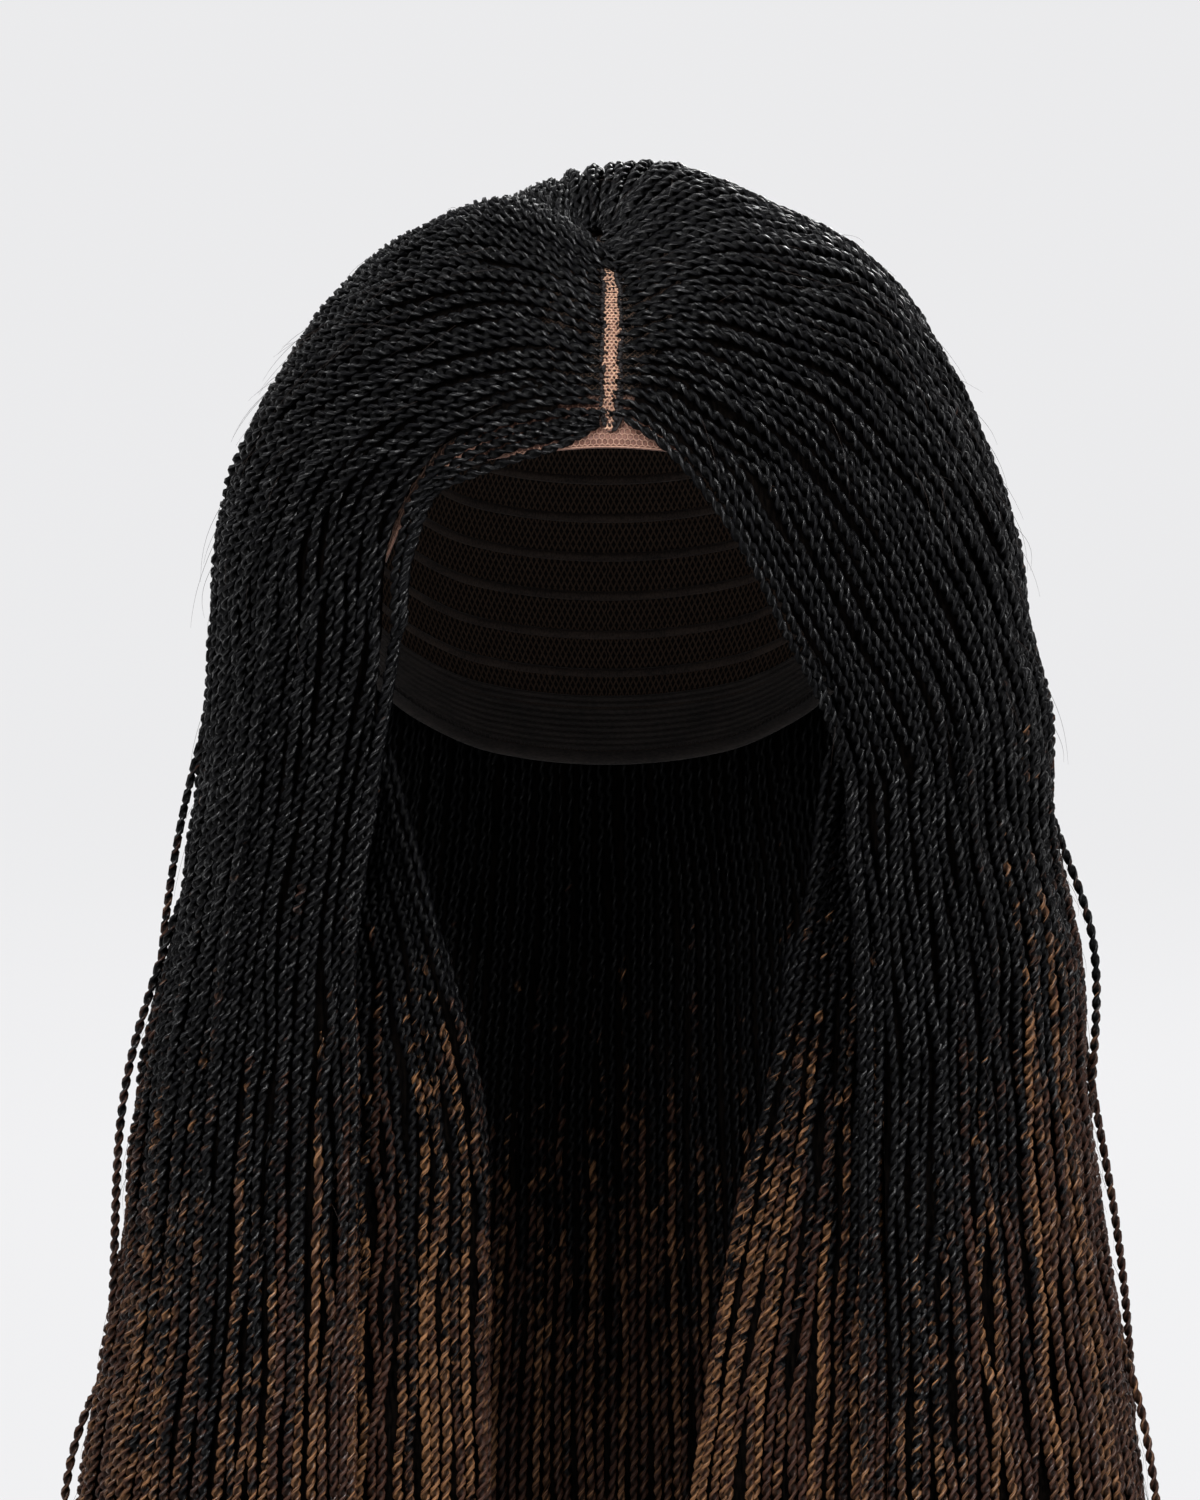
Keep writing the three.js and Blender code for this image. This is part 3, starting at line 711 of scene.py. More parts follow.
strayHair = plainCloth(
    "stray hair", (0.003, 0.0025, 0.0025, 1), (0.02, 0.011, 0.008, 1), 40, (1, 1, 1), 0.2, Roughness=0.45,
    Specular_IOR_Level=0.2,
)


print("outer twists")
# Over how many millimetres the brown sets in, and where it starts below the top on the twists without a row
ombre = {
    "span": 105, "never": 900.0, "looseLeft": 190.0, "looseRight": 150.0, "inside": 245.0, "innerLeft": 222.0,
    "innerRight": 205.0, "innerEdge": 215.0,
}
# Where the outer twists start to brown: share of the way round, left, right, bronze
ombreRows = np.array([
    [0, 222, 258, 1], [0.055, 232, 262, 1], [0.09, 262, 212, 1], [0.14, 258, 196, 0.95],
    [0.19, 212, 172, 0.6], [0.26, 176, 122, 0.4], [0.4, 185, 155, 0.7], [1, 225, 225, 1],
])
samples = 150
alongs = np.concatenate([np.linspace(0, 1, 66)[:-1], np.linspace(1, 2, samples - 65)])
need = mix(twist["rootSpacing"], twist["spacing"], smooth(0, 0.95, alongs))
denseTurns = np.linspace(-1, 1, 2001)
lowArc = pathLengths(hairPoint(denseTurns, np.full(2001, 1.8)))
twistCount = int(lowArc[-1] / (twist["spacing"] * 1.1))
turns = np.interp(np.linspace(0, lowArc[-1], twistCount), lowArc, denseTurns)
arounds = 1 - np.abs(turns)
starts = np.interp(arounds, ombreRows[:, 0], ombreRows[:, 1])
starts = np.where(turns < 0, starts, np.interp(arounds, ombreRows[:, 0], ombreRows[:, 2]))
bronze = np.interp(arounds, ombreRows[:, 0], ombreRows[:, 3])[:, None]
room = np.clip(hairThickness(0.5, alongs) - 1.4, 1, 2.6)
paths, outwards, marks, onTop = layTwists(hairFrame, alongs, turns, need, starts, bronze, room=room)
print("twists round the cap:", twistCount)

lockCount = 13
groups = {  # side, first and last lock, rings to a turn
    "twistsLeftFront": ("left", 1, 4, 5.3),
    "twistsLeftSide": ("left", 5, 8, 4.7),
    "twistsLeftBack": ("left", 9, 13, 3.9),
    "twistsRightFront": ("right", 1, 4, 5.3),
    "twistsRightSide": ("right", 5, 8, 4.7),
    "twistsRightBack": ("right", 9, 13, 3.9),
}


def endCut(k):
    # twists end unevenly: how many millimetres of this one are left off
    return (k * 7919 % 100) / 100 * 15


def cutEnd(path, cut):
    # how many points of a path are left when its last millimetres are cut
    fromEnd = np.cumsum(np.linalg.norm(np.diff(path, axis=0), axis=1)[::-1])[::-1]
    return max(6, int(np.searchsorted(-fromEnd, -cut)) + 1)


def rootIn(path, outward, marks, reach, sink):
    # leads a twist back from its root, flat along the cap and sinking a little, to where it is tied
    up = unit(path[0] - domeMiddle)
    back = path[0] - path[1]
    back = unit(back - up * (back @ up)) * reach
    steps = np.array([1.0, 0.66, 0.33])[:, None]
    lead = path[0] + back * steps - up * sink * steps**1.5
    return (np.concatenate([lead, path]), np.concatenate([np.repeat(outward[:1], 3, 0), outward]),
            np.concatenate([np.repeat(marks[:1], 3, 0), marks]))


# The bare strip: how far back, its middle, half its width
bareRows = np.array([
    [0, -0.7, 0.3], [2, -0.7, 0.9], [6, -0.6, 1.4], [14, -0.35, 1.75], [25, 0.1, 2], [33, 0.25, 2.05],
    [40, 0, 1.75], [47, -0.35, 1.5], [53, -0.7, 1.15], [57, -0.9, 0.8],
])


def bareEdge(side, y):
    # where the bare strip of the parting ends on this side, y back from the hairline: it wanders, and it
    # narrows to both ends
    middle = np.interp(y, bareRows[:, 0], bareRows[:, 1])
    half = np.interp(y, bareRows[:, 0], bareRows[:, 2])
    sway = 0.2 * np.sin(y * 0.42 + 2 * side) + 0.14 * np.sin(y * 0.93 - side)
    return middle + side * (half + sway * np.minimum(1, half))


for name, (side, first, last, rings) in groups.items():
    tubes = TubeSet()
    low, high = (first - 1) / lockCount, last / lockCount
    for k, around in enumerate(arounds):
        onSide = (turns[k] < 0) == (side == "left")
        if not onSide or not (low <= around < high or (last == lockCount and around >= high)):
            continue
        start = int(np.argmax(onTop[k] > 0.05))
        stop = cutEnd(paths[k], endCut(k))
        line = paths[k, start:stop], outwards[k, start:stop], marks[k, start:stop]
        if onTop[k, 0] > 0.8:
            share = around / hair["partingShare"]
            if share < 1:
                sign = -1 if side == "left" else 1
                bare = sign * bareEdge(sign, share * cap["partingLength"])
                reach = rootOffset - bare + dice.normal(0, 0.2)
                line = rootIn(*line, reach, -0.15)
            else:
                line = rootIn(*line, dice.uniform(2.4, 4.2), 0.4)
        twistTube(tubes, *line, *dicedSize(0.9, 1.1, 0.92, 1.1), rings)
    piece = tubes.mesh(name, twistHair)
    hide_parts(*[f"lock_{side}_{i}" for i in range(first, last + 1)])
    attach(piece, "root")

# The twists along the hairline. On the left the outermost leaves the parting and follows the lace's lower
# edge down to the temple: along, azimuth and degrees down from the top
print("edge twists")
hairlineRows = np.array([
    [0, 2, 62.6], [0.04, 7.8, 65.3], [0.1, 12.5, 66.8], [0.19, 17.8, 67.9], [0.28, 21.8, 69],
    [0.38, 25.9, 70.1], [0.46, 29.2, 71.1], [0.57, 34.4, 72.5], [0.62, 37.1, 73.9], [0.68, 38.5, 76],
    [0.74, 39.8, 79.1], [0.85, 42, 84.6], [0.95, 44, 90.7],
])
tubes = TubeSet()
for sign in (-1, 1):
    points, normals, across = hairFrame(np.full(samples, float(sign)), alongs)
    thickness = hairThickness(np.full(samples, float(sign)), alongs)
    lengths = pathLengths(points)
    edge = points - normals * twist["radius"]
    if sign < 0:
        azimuth, polar = np.radians(readAt(alongs, hairlineRows[:, 0], hairlineRows[:, 1:])).T
        line = domePoint(-azimuth, polar, cap["laceWall"] + twist["radius"] * 0.95)
        outermost = mix(edge, line, (1 - smooth(0.82, 1.15, alongs))[:, None])
    else:
        inwards = 0.8 * smooth(0, 0.08, alongs) * (1 - smooth(0.6, 0.9, alongs))
        outermost = edge + across * inwards[:, None]
    # share of the way out to the outermost, how far behind the surface, and where it starts
    layers = ((1, 0, 0), (0.63, 0.3, 0), (0.38, 0.2, 0), (0.14, 0.1, 0)) if sign < 0 else ((1, 0, 0),)
    for share, behind, first in (*layers, (0, 2.5, 45), (0, 4.9, 60), (0.2, 3.7, 55)):
        aside = waves(1, lengths, 0.25, 80)[0] * smooth(0, 40, lengths)
        deep = np.minimum(behind, np.maximum(thickness - 2.2, 0))
        if 0.1 < share < 1 and first == 0:
            deep = deep + 2.4 * smooth(0.6, 1.1, alongs)
        path = mix(edge, outermost, share) - normals * deep[:, None] + across * aside[:, None]
        path = keepOffDome(path, cap["laceWall"] + twist["radius"] * 0.9)
        early = pathMarks(points, starts[0 if sign < 0 else -1])
        line = path[first:-3], normals[first:-3], early[first:-3]
        twistTube(tubes, *line, twist["radius"] * 0.93, twist["pitch"] * 1.03, 6, startShare=0.8)
edgeTwists = tubes.mesh("edgeTwists", twistHair)
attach(edgeTwists, "root")

# Short twists that cover the crown's swirl: over the others at the root, and sunk among them further out
print("crown twists")
tubes = TubeSet()
crownAlongs = np.linspace(0, 0.42, 40)
for turn in np.concatenate([np.linspace(-0.56, -0.02, 14), np.linspace(0.02, 0.56, 14)]):
    turn = turn + dice.normal(0, 0.01)
    points, normals, across = hairFrame(np.full(40, turn), crownAlongs)
    lengths = pathLengths(points)
    deep = mix(0.2, 4.2, smooth(0.25, 1, crownAlongs / 0.42)) + dice.uniform(-0.3, 0.5)
    aside = waves(1, lengths, 0.8, 60)[0] * smooth(0, 30, lengths)
    path = points - normals * deep[:, None] + across * aside[:, None]
    black = pathMarks(points, ombre["never"])
    line = rootIn(path, normals, black, dice.uniform(3.4, 6.4), 0.3)
    twistTube(tubes, *line, *dicedSize(0.88, 1.05, 0.95, 1.1), 4.6, 0.7)
crownTwists = tubes.mesh("crownTwists", twistHair)
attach(crownTwists, "root")

# Single twists that hang clear of the rest: turn, along at both ends, and how far out
print("loose twists")
looseRows = [
    (0.735, 1.08, 1.42, 3.1), (0.72, 1.3, 1.75, 2.6), (-0.735, 1.05, 1.34, 2.8), (-0.75, 1.22, 1.66, 2.9),
    (-0.72, 1.7, 1.95, 3.3), (0.76, 1.62, 1.96, 2.6), (0.5, 1.2, 1.7, 2.6), (-0.5, 1.3, 1.8, 2.6),
    (0.2, 1.1, 1.6, 2.4), (-0.2, 1.35, 1.9, 2.6), (0.9, 0.8, 1.3, 1.7), (-0.88, 0.9, 1.4, 1.7),
]
tubes = TubeSet()
for turn, first, last, out in looseRows:
    run = np.linspace(first, last, 70)
    points, normals, across = hairFrame(np.full(70, turn), run)
    lengths = pathLengths(points)
    clear = np.sin(math.pi * np.clip((run - first) / (last - first), 0, 1)) ** 0.6 * (out + 2.4) - 2.4
    path = points + normals * clear[:, None] + across * waves(1, lengths, 0.7, 90)[0][:, None]
    early = pathMarks(points, ombre["looseRight" if turn > 0 else "looseLeft"], 0.6)
    twistTube(tubes, path, normals, early, twist["radius"] * 0.9, twist["pitch"], 6)
looseTwists = tubes.mesh("looseTwists", twistHair)
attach(looseTwists, "root")

# Fine hairs that stand off the twists: each leaves the surface and bends away from it
print("stray hairs")
stray = {"count": 260, "radius": 0.07, "shortest": 8, "longest": 26, "off": 3}
tubes = TubeSet()
for k in range(stray["count"]):
    if dice.uniform() < 0.5:
        turn = float(np.clip(dice.choice([-0.74, 0.74]) + dice.normal(0, 0.05), -1, 1))  # near the outline
    else:
        turn = dice.uniform(-1, 1)
    along = dice.uniform(0.05, 1.9)
    base, outward, side = (v[0] for v in hairFrame(np.array([turn]), np.array([along])))
    ahead = np.cross(side, outward) * (-1 if np.cross(side, outward)[2] > 0 else 1)
    length, f = dice.uniform(stray["shortest"], stray["longest"]), np.linspace(0, 1, 9)
    lean, curl = dice.uniform(-0.7, 0.7), dice.uniform(-0.5, 0.5)
    off = dice.uniform(1.2, stray["off"]) * np.sin(f * math.pi * dice.uniform(0.45, 0.95))
    path = (
        base - outward * 0.9 + ahead * (f * length * math.cos(lean))[:, None]
        + side * (f * length * math.sin(lean) + curl * 6 * f**2)[:, None] + outward * off[:, None]
    )
    angle = 2 * math.pi * np.arange(3) / 3
    radius = stray["radius"] * mix(1, 0.3, f)
    across, up = unit(np.cross(unit(np.gradient(path, axis=0)), outward)), outward
    rings = path[:, None] + radius[:, None, None] * (
        np.cos(angle)[None, :, None] * across[:, None] + np.sin(angle)[None, :, None] * up
    )
    tubes.add(rings, np.arange(3) / 3, f * 5, np.zeros((9, 3)), path[[0, -1]])
strayHairs = tubes.mesh("strayHairs", strayHair)
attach(strayHairs, "root")

# The twists on the inside, which show through the front opening and below the cap
print("inside twists")


def insideFrame(turn, along):
    points, normals, across = hairFrame(turn, along)
    thickness = hairThickness(turn, along)
    inner = keepOffDome(points - normals * (thickness - 0.4)[..., None], cap["wall"] + cap["seat"])
    return inner, -normals, across


for name, low, high in (("insideTwistsLeft", -0.62, -0.002), ("insideTwistsRight", 0.002, 0.62)):
    tubes = TubeSet()
    insideAlongs = np.linspace(0.9, 2, 90)
    dense = np.linspace(low, high, 400)
    curve = insideFrame(dense, np.full(400, 1.8))[0]
    arc = pathLengths(curve)
    count = int(arc[-1] / 2.9)
    columns = np.interp(np.linspace(0, arc[-1], count), arc, dense)
    insidePaths, insideOut, insideMarks, top = layTwists(
        insideFrame, insideAlongs, columns, np.full(90, 2.8), np.full(count, ombre["inside"]), 0.7, loose=0.6
    )
    for k in range(count):
        stop = cutEnd(insidePaths[k], endCut(k + 31))
        x, y = insidePaths[k, 0, :2] / halfDome[:2]
        rimAngle = math.radians(float(readRows(rimRows, 1, math.degrees(math.atan2(abs(x), -y)))))
        rimLevel = dome["rise"] * (math.cos(rimAngle) - 1)
        start = max(int(np.argmax(top[k] > 0.05)), int(np.argmax(insidePaths[k, :, 2] < rimLevel + 9)))
        if stop - start < 8:
            continue
        line = insidePaths[k, start:stop], insideOut[k, start:stop], insideMarks[k, start:stop]
        twistTube(tubes, *line, *dicedSize(0.95, 1.1, 1.05, 1.25), 3.8, plain=True)
    piece = tubes.mesh(name, innerHair)
    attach(piece, "root")

# The deeper hair, behind the front layer
print("inner twists")
for name, side, sign in (("innerTwistsLeft", "left", -1), ("innerTwistsRight", "right", 1)):
    tubes = TubeSet()
    levels = np.linspace(0.262, 0.995, 100)

    def surface(f, level):
        return innerFrame(sign, f, level)

    low = surface(np.array([0.0, 1.0]), np.array([0.9, 0.9]))[0]
    count = int(np.linalg.norm(low[1] - low[0]) / 2.95)
    columns = np.linspace(0.02, 0.98, count)
    browned = np.full(count, ombre["innerLeft" if sign < 0 else "innerRight"])
    innerPaths, innerOut, innerMarks, top = layTwists(
        surface, levels, columns, np.full(100, 2.8), browned, loose=1.1
    )
    for k in range(count):
        start = int(np.argmax(top[k] > 0.05))
        stop = cutEnd(innerPaths[k], endCut(k + 57))
        line = innerPaths[k, start:stop], innerOut[k, start:stop], innerMarks[k, start:stop]
        twistTube(tubes, *line, *dicedSize(0.93, 1.05, 0.94, 1.08), 5)
    for layer in (1, 2, 3):
        points, normals, across = surface(np.full(100, 0.02), levels)
        lengths = pathLengths(points)
        depth = readRows(innerRows, 6, levels) * hair["innerThickness"]
        back = np.minimum(1.4 + 2.6 * layer, depth - 1.2)
        path = points - normals * back[:, None] + across * waves(1, lengths, 0.6, 90)[0][:, None]
        start = int(np.argmax(depth > 2.6 * layer + 2.2))
        early = pathMarks(points, ombre["innerEdge"])
        line = path[start:-2], normals[start:-2], early[start:-2]
        twistTube(tubes, *line, twist["radius"], twist["pitch"], 4)
    piece = tubes.mesh(name, innerHair)
    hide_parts(f"inner_lock_{side}_1", f"inner_lock_{side}_2")
    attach(piece, "root")


def loftMesh(name, sections, material, closed=False):
    # a closed body through sections (rings of points), with a flat end at each side, or run round into itself
    n, sides = sections.shape[:2]
    i, j = np.meshgrid(np.arange(n if closed else n - 1), np.arange(sides), indexing="ij")
    k, near, far = (j + 1) % sides, i * sides, (i + 1) % n * sides
    quads = np.stack([near + j, near + k, far + k, far + j], -1).reshape(-1, 4)
    if closed:
        return addMesh(name, sections.reshape(-1, 3), quads, [], material)
    half = sides // 2
    a = np.arange(half - 1)
    ends = [np.stack([a + 1, a, sides - 1 - a, sides - 2 - a], -1)]
    ends.append(np.stack([a, a + 1, sides - 2 - a, sides - 1 - a], -1) + (n - 1) * sides)
    return addMesh(name, sections.reshape(-1, 3), np.concatenate([quads, *ends]), [], material)


print("under hair")
edgeTurns = np.linspace(0.7, 0.985, 16)
coreTurns = np.concatenate([-edgeTurns[::-1], np.linspace(-0.68, 0.68, 52), edgeTurns])
coreAlongs = np.concatenate([np.linspace(0.06, 1, 26), np.linspace(1.04, 1.95, 26)])
grid = np.meshgrid(coreTurns, coreAlongs)
points, normals, across = hairFrame(*grid)
thickness = hairThickness(*grid)
near = np.minimum(3.9, thickness - 0.6)
far = np.maximum(near + 0.4, thickness - 2.6)
outerSkin = keepOffDome(points - normals * near[..., None], cap["wall"] + 0.7)
innerSkin = keepOffDome(points - normals * far[..., None], cap["wall"] + 0.3)
sections = np.concatenate([outerSkin, innerSkin[:, ::-1]], 1)
core = loftMesh("underHair", sections[:, ::-1], underHair)
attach(core, "root")
for name, sign in (("innerUnderHairLeft", -1), ("innerUnderHairRight", 1)):
    levels = np.linspace(0.28, 0.97, 40)
    grid = np.meshgrid(np.linspace(0.05, 0.97, 12), levels)
    points, normals, across = innerFrame(sign, *grid)
    depth = readRows(innerRows, 6, grid[1]) * hair["innerThickness"]
    outerSkin = points - normals * np.minimum(3.2, 0.55 * depth)[..., None]
    innerSkin = points - normals * np.maximum(0.6 * depth, depth - 1)[..., None]
    sections = np.concatenate([outerSkin, innerSkin[:, ::-1]], 1)
    piece = loftMesh(name, sections if sign < 0 else sections[:, ::-1], underHair)
    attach(piece, "root")


print("cap")


def laceReach(azimuth):
    # how far the lace goes up from the rim, in radians: a crescent that ends at the temples
    f = np.abs(azimuth) / math.radians(cap["laceSpan"])
    deep = np.maximum(cap["laceTip"], cap["laceDepth"] * np.sqrt(np.maximum(0, 1 - f**2)))
    return np.where(f > 1, 0, deep) / dome["rise"]


def rimPolar(azimuth):
    wrapped = np.abs((azimuth + math.pi) % (2 * math.pi) - math.pi)
    return np.radians(readRows(rimRows, 1, np.degrees(wrapped)))


def ribbon(name, azimuths, polarLow, polarHigh, base, height, material, ridges=1, closed=False):
    # a strip along the cap between two polar angles: its section is a low arch that stands off the cap's skin
    f = np.linspace(0, 1, 4 * ridges + 1)
    rise = height * np.abs(np.sin(f * math.pi * ridges)) ** 0.5
    polar = mix(polarLow[:, None], polarHigh[:, None], f[None, :])
    top = domePoint(azimuths[:, None], polar, base + rise[None, :])
    bottom = domePoint(azimuths[:, None], polar, np.full_like(polar, base - np.sign(height) * 0.25))
    sections = np.concatenate([top, bottom[:, ::-1]], 1)
    if height < 0:
        sections = sections[:, ::-1]
    return loftMesh(name, sections, material, closed)


def capShell():
    # the cap's outer and inner skins, which meet at the rim and behind the lace
    columns, rows = 144, 30
    azimuths = np.linspace(-math.pi, math.pi, columns, endpoint=False)
    reach = laceReach(azimuths)
    edge = rimPolar(azimuths) - reach - np.where(reach > 0, cap["seamGap"] / dome["rise"], 0)
    shares = np.linspace(1, 0.02, rows)
    polar = edge[None, :] * shares[:, None]
    inner = domePoint(azimuths[None, :], polar, 0.0)
    outer = domePoint(azimuths[None, :], polar[::-1], cap["wall"])
    rings = np.concatenate([inner[::-1], outer[::-1]])  # from the inner pole to the rim, and back outside
    n = len(rings)
    quads, triangles = tubeFaces(n, columns, 0)
    poles = np.array([domePoint(0.0, 0.0, 0.0), domePoint(0.0, 0.0, cap["wall"])])
    lengths = np.concatenate([shares[::-1], 2 - shares]) * 110
    quadUv, triangleUv = tubeUv(n, np.linspace(0, 1, columns, endpoint=False), lengths)
    uv = np.concatenate([quadUv, triangleUv]) * np.array([500, 1])
    return addMesh(
        "capNet", np.concatenate([rings.reshape(-1, 3), poles]), quads[:, ::-1], triangles[:, ::-1], capNet,
        np.concatenate([uv[: len(quadUv)].reshape(-1, 4, 2)[:, ::-1].reshape(-1, 2),
                        uv[len(quadUv):].reshape(-1, 3, 2)[:, ::-1].reshape(-1, 2)]),
    )


capPiece = capShell()
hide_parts("cap")
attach(capPiece, "root")

sewn = {
    "tracks": 7, "trackGap": 11, "trackWidth": 2.6, "trackHeight": 0.7, "bandWidth": 17, "bandHeight": 0.9,
    "bindingWidth": 4.5, "bindingHeight": 2.2, "stitches": 480,
}
fullTurn = np.linspace(-math.pi, math.pi, 96, endpoint=False)
backTurn = np.linspace(math.radians(54), 2 * math.pi - math.radians(54), 150)
for i in range(1, sewn["tracks"] + 1):
    low = rimPolar(fullTurn) - laceReach(fullTurn) * 0.6 - (sewn["trackGap"] * i + 6) / dome["rise"]
    high = low + sewn["trackWidth"] / dome["rise"]
    track = ribbon(f"weftTrack{i}", fullTurn, low, high, 0.0, -sewn["trackHeight"], trackTape, closed=True)
    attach(track, "root")
bandTurn = np.linspace(math.radians(112), math.radians(248), 56)
band = ribbon(
    "napeElastic", bandTurn, rimPolar(bandTurn) - (sewn["bandWidth"] + 3) / dome["rise"],
    rimPolar(bandTurn) - 3 / dome["rise"], 0.0, -sewn["bandHeight"], elastic, ridges=9,
)
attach(band, "root")


def roundTube(name, path, outward, width, height, sides, material):
    # an oval tube along a path, wide along the surface and low over it
    ahead = unit(np.gradient(path, axis=0))
    side = unit(np.cross(ahead, outward))
    angle = 2 * math.pi * np.arange(sides) / sides
    rings = path[:, None] + (
        (np.cos(angle) * height / 2)[None, :, None] * np.cross(side, ahead)[:, None]
        + (np.sin(angle) * width / 2)[None, :, None] * side[:, None]
    )
    quads, triangles = tubeFaces(len(path), sides, 0)
    piece = addMesh(name, np.concatenate([rings.reshape(-1, 3), path[[0, -1]]]), quads, triangles, material)
    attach(piece, "root")


rimPath = domePoint(backTurn, rimPolar(backTurn) - 1.2 / dome["rise"], 0.6)
rimOut = unit(rimPath - domeMiddle)
roundTube("capBinding", rimPath, rimOut, sewn["bindingWidth"], sewn["bindingHeight"], 10, elastic)
# Zigzag stitches along the binding's inner edge
stitchTurn = np.linspace(backTurn[0], backTurn[-1], sewn["stitches"])
zigzag = rimPolar(stitchTurn) - (3.2 + 1.1 * (-1.0) ** np.arange(sewn["stitches"])) / dome["rise"]
stitchPath = domePoint(stitchTurn, zigzag, -0.75)
roundTube("bindingStitch", stitchPath, unit(stitchPath - domeMiddle), 0.35, 0.3, 4, knotFibre)


print("lace")


def threadNet(name, place, inside, width, height, cell, thread, material):
    # a net of six-sided cells: the edges of a honeycomb in a flat sheet, each a thin four-sided bar, laid on
    # a surface by place(x, y), which gives a point and its outward direction
    side = cell / math.sqrt(3)
    columns = np.arange(-int(width / cell / 2) - 1, int(width / cell / 2) + 2)
    rows = np.arange(-1, int(height / (1.5 * side)) + 2)
    row, column = np.meshgrid(rows, columns, indexing="ij")
    x = cell * (column + 0.5 * (row % 2))
    y = 1.5 * side * row
    starts, ends = [], []
    for turn in (30, 90, 150):  # three edges of every cell are enough, since its neighbours have the others
        a, b = math.radians(turn), math.radians(turn + 60)
        starts.append(np.stack([x + side * math.cos(a), y + side * math.sin(a)], -1).reshape(-1, 2))
        ends.append(np.stack([x + side * math.cos(b), y + side * math.sin(b)], -1).reshape(-1, 2))
    starts, ends = np.concatenate(starts), np.concatenate(ends)
    keep = inside(*((starts + ends) / 2).T)
    starts, ends = starts[keep], ends[keep]
    starts = starts + dice.normal(0, cell * 0.03, starts.shape)
    along = unit(ends - starts)
    across = np.stack([-along[:, 1], along[:, 0]], -1) * thread / 2
    vertices = []
    for spot in (starts - along * thread * 0.3, ends + along * thread * 0.3):
        for shift, lift in ((-1, 0), (0, -thread * 0.4), (1, 0), (0, thread * 0.55)):
            flat = spot + across * shift
            point, outward = place(flat[:, 0], flat[:, 1])
            vertices.append(point + outward * lift)
    vertices = np.stack(vertices, 1)
    count = len(vertices)
    bar = np.array([[0, 1, 5, 4], [1, 2, 6, 5], [2, 3, 7, 6], [3, 0, 4, 7], [3, 2, 1, 0], [4, 5, 6, 7]])
    quads = (bar[None] + 8 * np.arange(count)[:, None, None]).reshape(-1, 4)
    piece = addMesh(name, vertices.reshape(-1, 3), quads, [], material)
    piece.data.shade_flat()
    print(f"{name}: {count * 12} triangles")
    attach(piece, "root")
    return piece


laceScale = 80.0  # millimetres of the sheet for each radian round the front


def lacePlace(x, y):
    azimuth = x / laceScale
    polar = rimPolar(azimuth) - y / dome["rise"]
    point = domePoint(azimuth, polar, cap["laceWall"])
    return point, unit(point - domeMiddle)


def laceInside(x, y):
    azimuth = x / laceScale
    span = math.radians(cap["laceSpan"])
    return (np.abs(azimuth) < span) & (y > 0.2) & (y < laceReach(azimuth) * dome["rise"] - 0.1)


laceNet = threadNet("laceNet", lacePlace, laceInside, 150, 16, 1.7, 0.34, laceThread)
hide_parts("lace_front")
span = math.radians(cap["laceSpan"])
laceTurn = np.linspace(-span, span, 101)
laceGroundPiece = ribbon(
    "laceGround", laceTurn, rimPolar(laceTurn) - laceReach(laceTurn), rimPolar(laceTurn),
    cap["laceWall"] - 0.45, 0.25, laceGround,
)
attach(laceGroundPiece, "root")
edgePath = domePoint(laceTurn, rimPolar(laceTurn) - 0.2 / dome["rise"], cap["laceWall"] - 0.1)
roundTube("laceEdge", edgePath, unit(edgePath - domeMiddle), 0.32, 0.3, 6, laceThread)


def partingPlace(x, y):
    polar = frontPolar - y / dome["rise"]
    px = x + cap["partingShift"]
    out = cap["wall"] + cap["seamGap"] + cap["partingWall"]
    py = -(dome["depth"] / 2 + out) * np.sin(polar)
    point = np.stack([px, py, domeLevel(px, py, out)], -1)
    return point, unit((point - domeMiddle) / halfDome**2)


def partingHalf(y):
    # half the lace's width: it comes to a blunt point at the hairline
    return np.minimum(2.9, 1.1 + 0.55 * y)


def partingInside(x, y):
    within = (x > bareEdge(-1, y) - 0.45) & (x < bareEdge(1, y) + 0.45)
    return within & (y > 0.2) & (y < cap["partingLength"] - 0.3)


partingNet = threadNet("partingNet", partingPlace, partingInside, 8, 60, 1.15, 0.4, partingThread)
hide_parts("parting_lace")
f = np.linspace(0, 1, 60)
y = (f**1.3 * (cap["partingLength"] - 0.4))[:, None]
bare = bareEdge(-1, y) - 0.3, bareEdge(1, y) + 0.3
for name, low, high, material, slot in (
    ("partingGround", *bare, laceGround, "lace"),
    ("partingSideLeft", -partingHalf(y), bare[0], knotFibre, "twists"),
    ("partingSideRight", bare[1], partingHalf(y), knotFibre, "twists"),
):
    # under the strip the lace is bare, and on both sides of it the hair is knotted in close
    top, outward = partingPlace(mix(low, high, np.linspace(0, 1, 7)[None, :]), np.broadcast_to(y, (60, 7)))
    ground = np.concatenate([top - outward * 0.3, (top - outward * 0.95)[:, ::-1]], 1)
    piece = loftMesh(name, ground, material)
    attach(piece, "root")

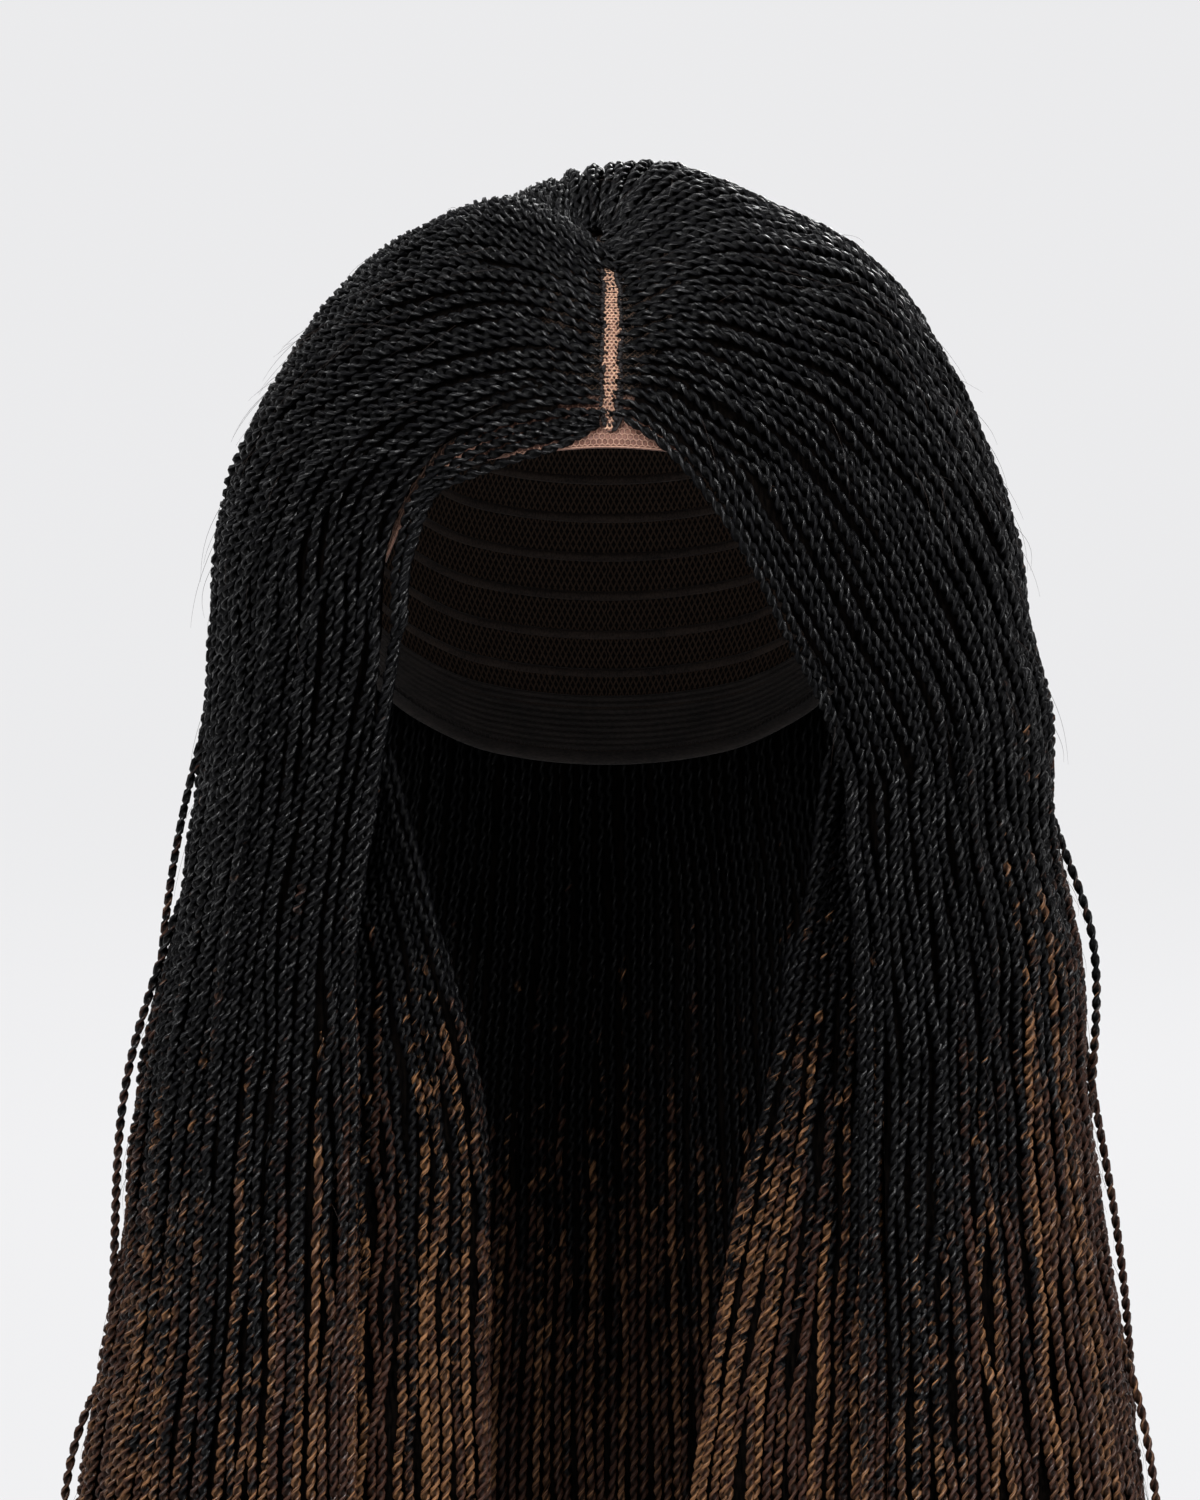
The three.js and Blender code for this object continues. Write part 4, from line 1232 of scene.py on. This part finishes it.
# Knots: each twist is tied to the lace. Large dark ones make its uneven edges, small ones a row inside
knotSection = ((-0.3, 0.8), (0.5, 1.0), (1.0, 0.6))  # height and radius, as shares of the knot's size
knots = TubeSet()
for sign in (-1, 1):
    for k in range(90):
        large = k % 3 > 0
        y = 1.6 + (k // 3) * 1.9 + (0.95 if k % 3 == 1 else 0) + dice.normal(0, 0.2)
        x = bareEdge(sign, y) + sign * (0.4 if large else -0.95) + dice.normal(0, 0.2 if large else 0.1)
        if y > cap["partingLength"] - 0.6:
            continue
        point, outward = (v[0] for v in partingPlace(np.array([x]), np.array([y])))
        size = dice.uniform(0.5, 0.8) if large else dice.uniform(0.3, 0.42)
        angle = 2 * math.pi * np.arange(6) / 6
        sideways, forwards = np.array([1.0, 0, 0]), unit(np.cross(outward, [1.0, 0, 0]))
        ring = np.cos(angle)[:, None] * sideways + np.sin(angle)[:, None] * forwards
        rings = np.stack([point + outward * size * h + size * w * ring for h, w in knotSection])
        poles = np.stack([point - outward * size * 0.5, point + outward * size * 1.2])
        knots.add(rings, np.arange(6) / 6, np.arange(3.0), np.zeros((3, 3)), poles)
knotPiece = knots.mesh("partingKnots", knotFibre)
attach(knotPiece, "root")


print("stage")
stage = {"floor": 470, "flat": 2600, "bend": 1500, "top": 5200, "sides": 96}
arc = np.linspace(0, halfPi, 24)[1:]
curve = stage["flat"] + stage["bend"] * np.sin(arc)
radii = np.concatenate([np.linspace(1, stage["flat"], 8), curve, [stage["flat"] + stage["bend"]]])
heights = np.concatenate([np.zeros(8), stage["bend"] * (1 - np.cos(arc)), [stage["top"]]]) - stage["floor"]
angle = 2 * math.pi * np.arange(stage["sides"]) / stage["sides"]
rings = np.stack([
    radii[:, None] * np.cos(angle), radii[:, None] * np.sin(angle), heights[:, None] + 0 * angle,
], -1)
quads, triangles = tubeFaces(len(radii), stage["sides"], 0)
keep = triangles[: stage["sides"]]
backdropMaterial, tree, shader = newMaterial("pale backdrop", Roughness=0.95, Specular_IOR_Level=0.1)
mottle = objectNoise(tree, 1.2, 2)
grey = mixColours(tree, mottle, (0.025, 0.025, 0.025, 1), (0.04, 0.04, 0.04, 1))
tree.links.new(grey, shader.inputs["Base Color"])
shader.inputs["Emission Color"].default_value = (0.985, 0.985, 1, 1)
shader.inputs["Emission Strength"].default_value = 0.81
floor = addMesh(
    "backdrop", np.concatenate([rings.reshape(-1, 3), [[0, 0, -stage["floor"]], [0, 0, -stage["floor"]]]]),
    quads, keep[:, ::-1], backdropMaterial,
)

camera = {"target": (-2, -60, -136), "distance": 1800, "elevation": 5, "lens": 166}
lens = bpy.data.cameras.new("camera")
lens.lens = camera["lens"]
lens.sensor_fit = "VERTICAL"
lens.sensor_height = 36
lens.clip_end = 30
viewer = bpy.data.objects.new("camera", lens)
bpy.context.scene.collection.objects.link(viewer)
lean = math.radians(camera["elevation"])
viewer.location = [
    camera["target"][0] * millimetre,
    (camera["target"][1] - camera["distance"] * math.cos(lean)) * millimetre,
    (camera["target"][2] + camera["distance"] * math.sin(lean)) * millimetre,
]
viewer.rotation_euler = (halfPi - lean, 0, 0)
bpy.context.scene.camera = viewer

lights = {  # place in metres, width and height in metres, watts
    "key": ((-1.0, -1.9, 1.3), 0.55, 0.55, 46),
    "fill": ((1.3, -1.7, 0.7), 0.6, 0.6, 30),
    "top": ((0.1, -0.4, 1.9), 0.7, 0.7, 30),
    "rear": ((0.6, 2.0, 0.9), 0.8, 0.8, 30),
}
for name, (place, width, height, power) in lights.items():
    lamp = bpy.data.lights.new(name, "AREA")
    lamp.shape = "RECTANGLE"
    lamp.size, lamp.size_y, lamp.energy = width, height, power
    holder = bpy.data.objects.new(name, lamp)
    holder.location = place
    aim = np.array([0, 0, -0.15]) - np.array(place)
    tilt = math.atan2(math.hypot(aim[0], aim[1]), -aim[2])
    holder.rotation_euler = (tilt, 0, math.atan2(aim[1], aim[0]) - halfPi)
    bpy.context.scene.collection.objects.link(holder)
world = bpy.data.worlds.new("studio")
world.use_nodes = True
world.node_tree.nodes["Background"].inputs["Color"].default_value = (0.9, 0.91, 0.93, 1)
world.node_tree.nodes["Background"].inputs["Strength"].default_value = 0.3
bpy.context.scene.world = world
bpy.context.scene.view_settings.view_transform = "Standard"
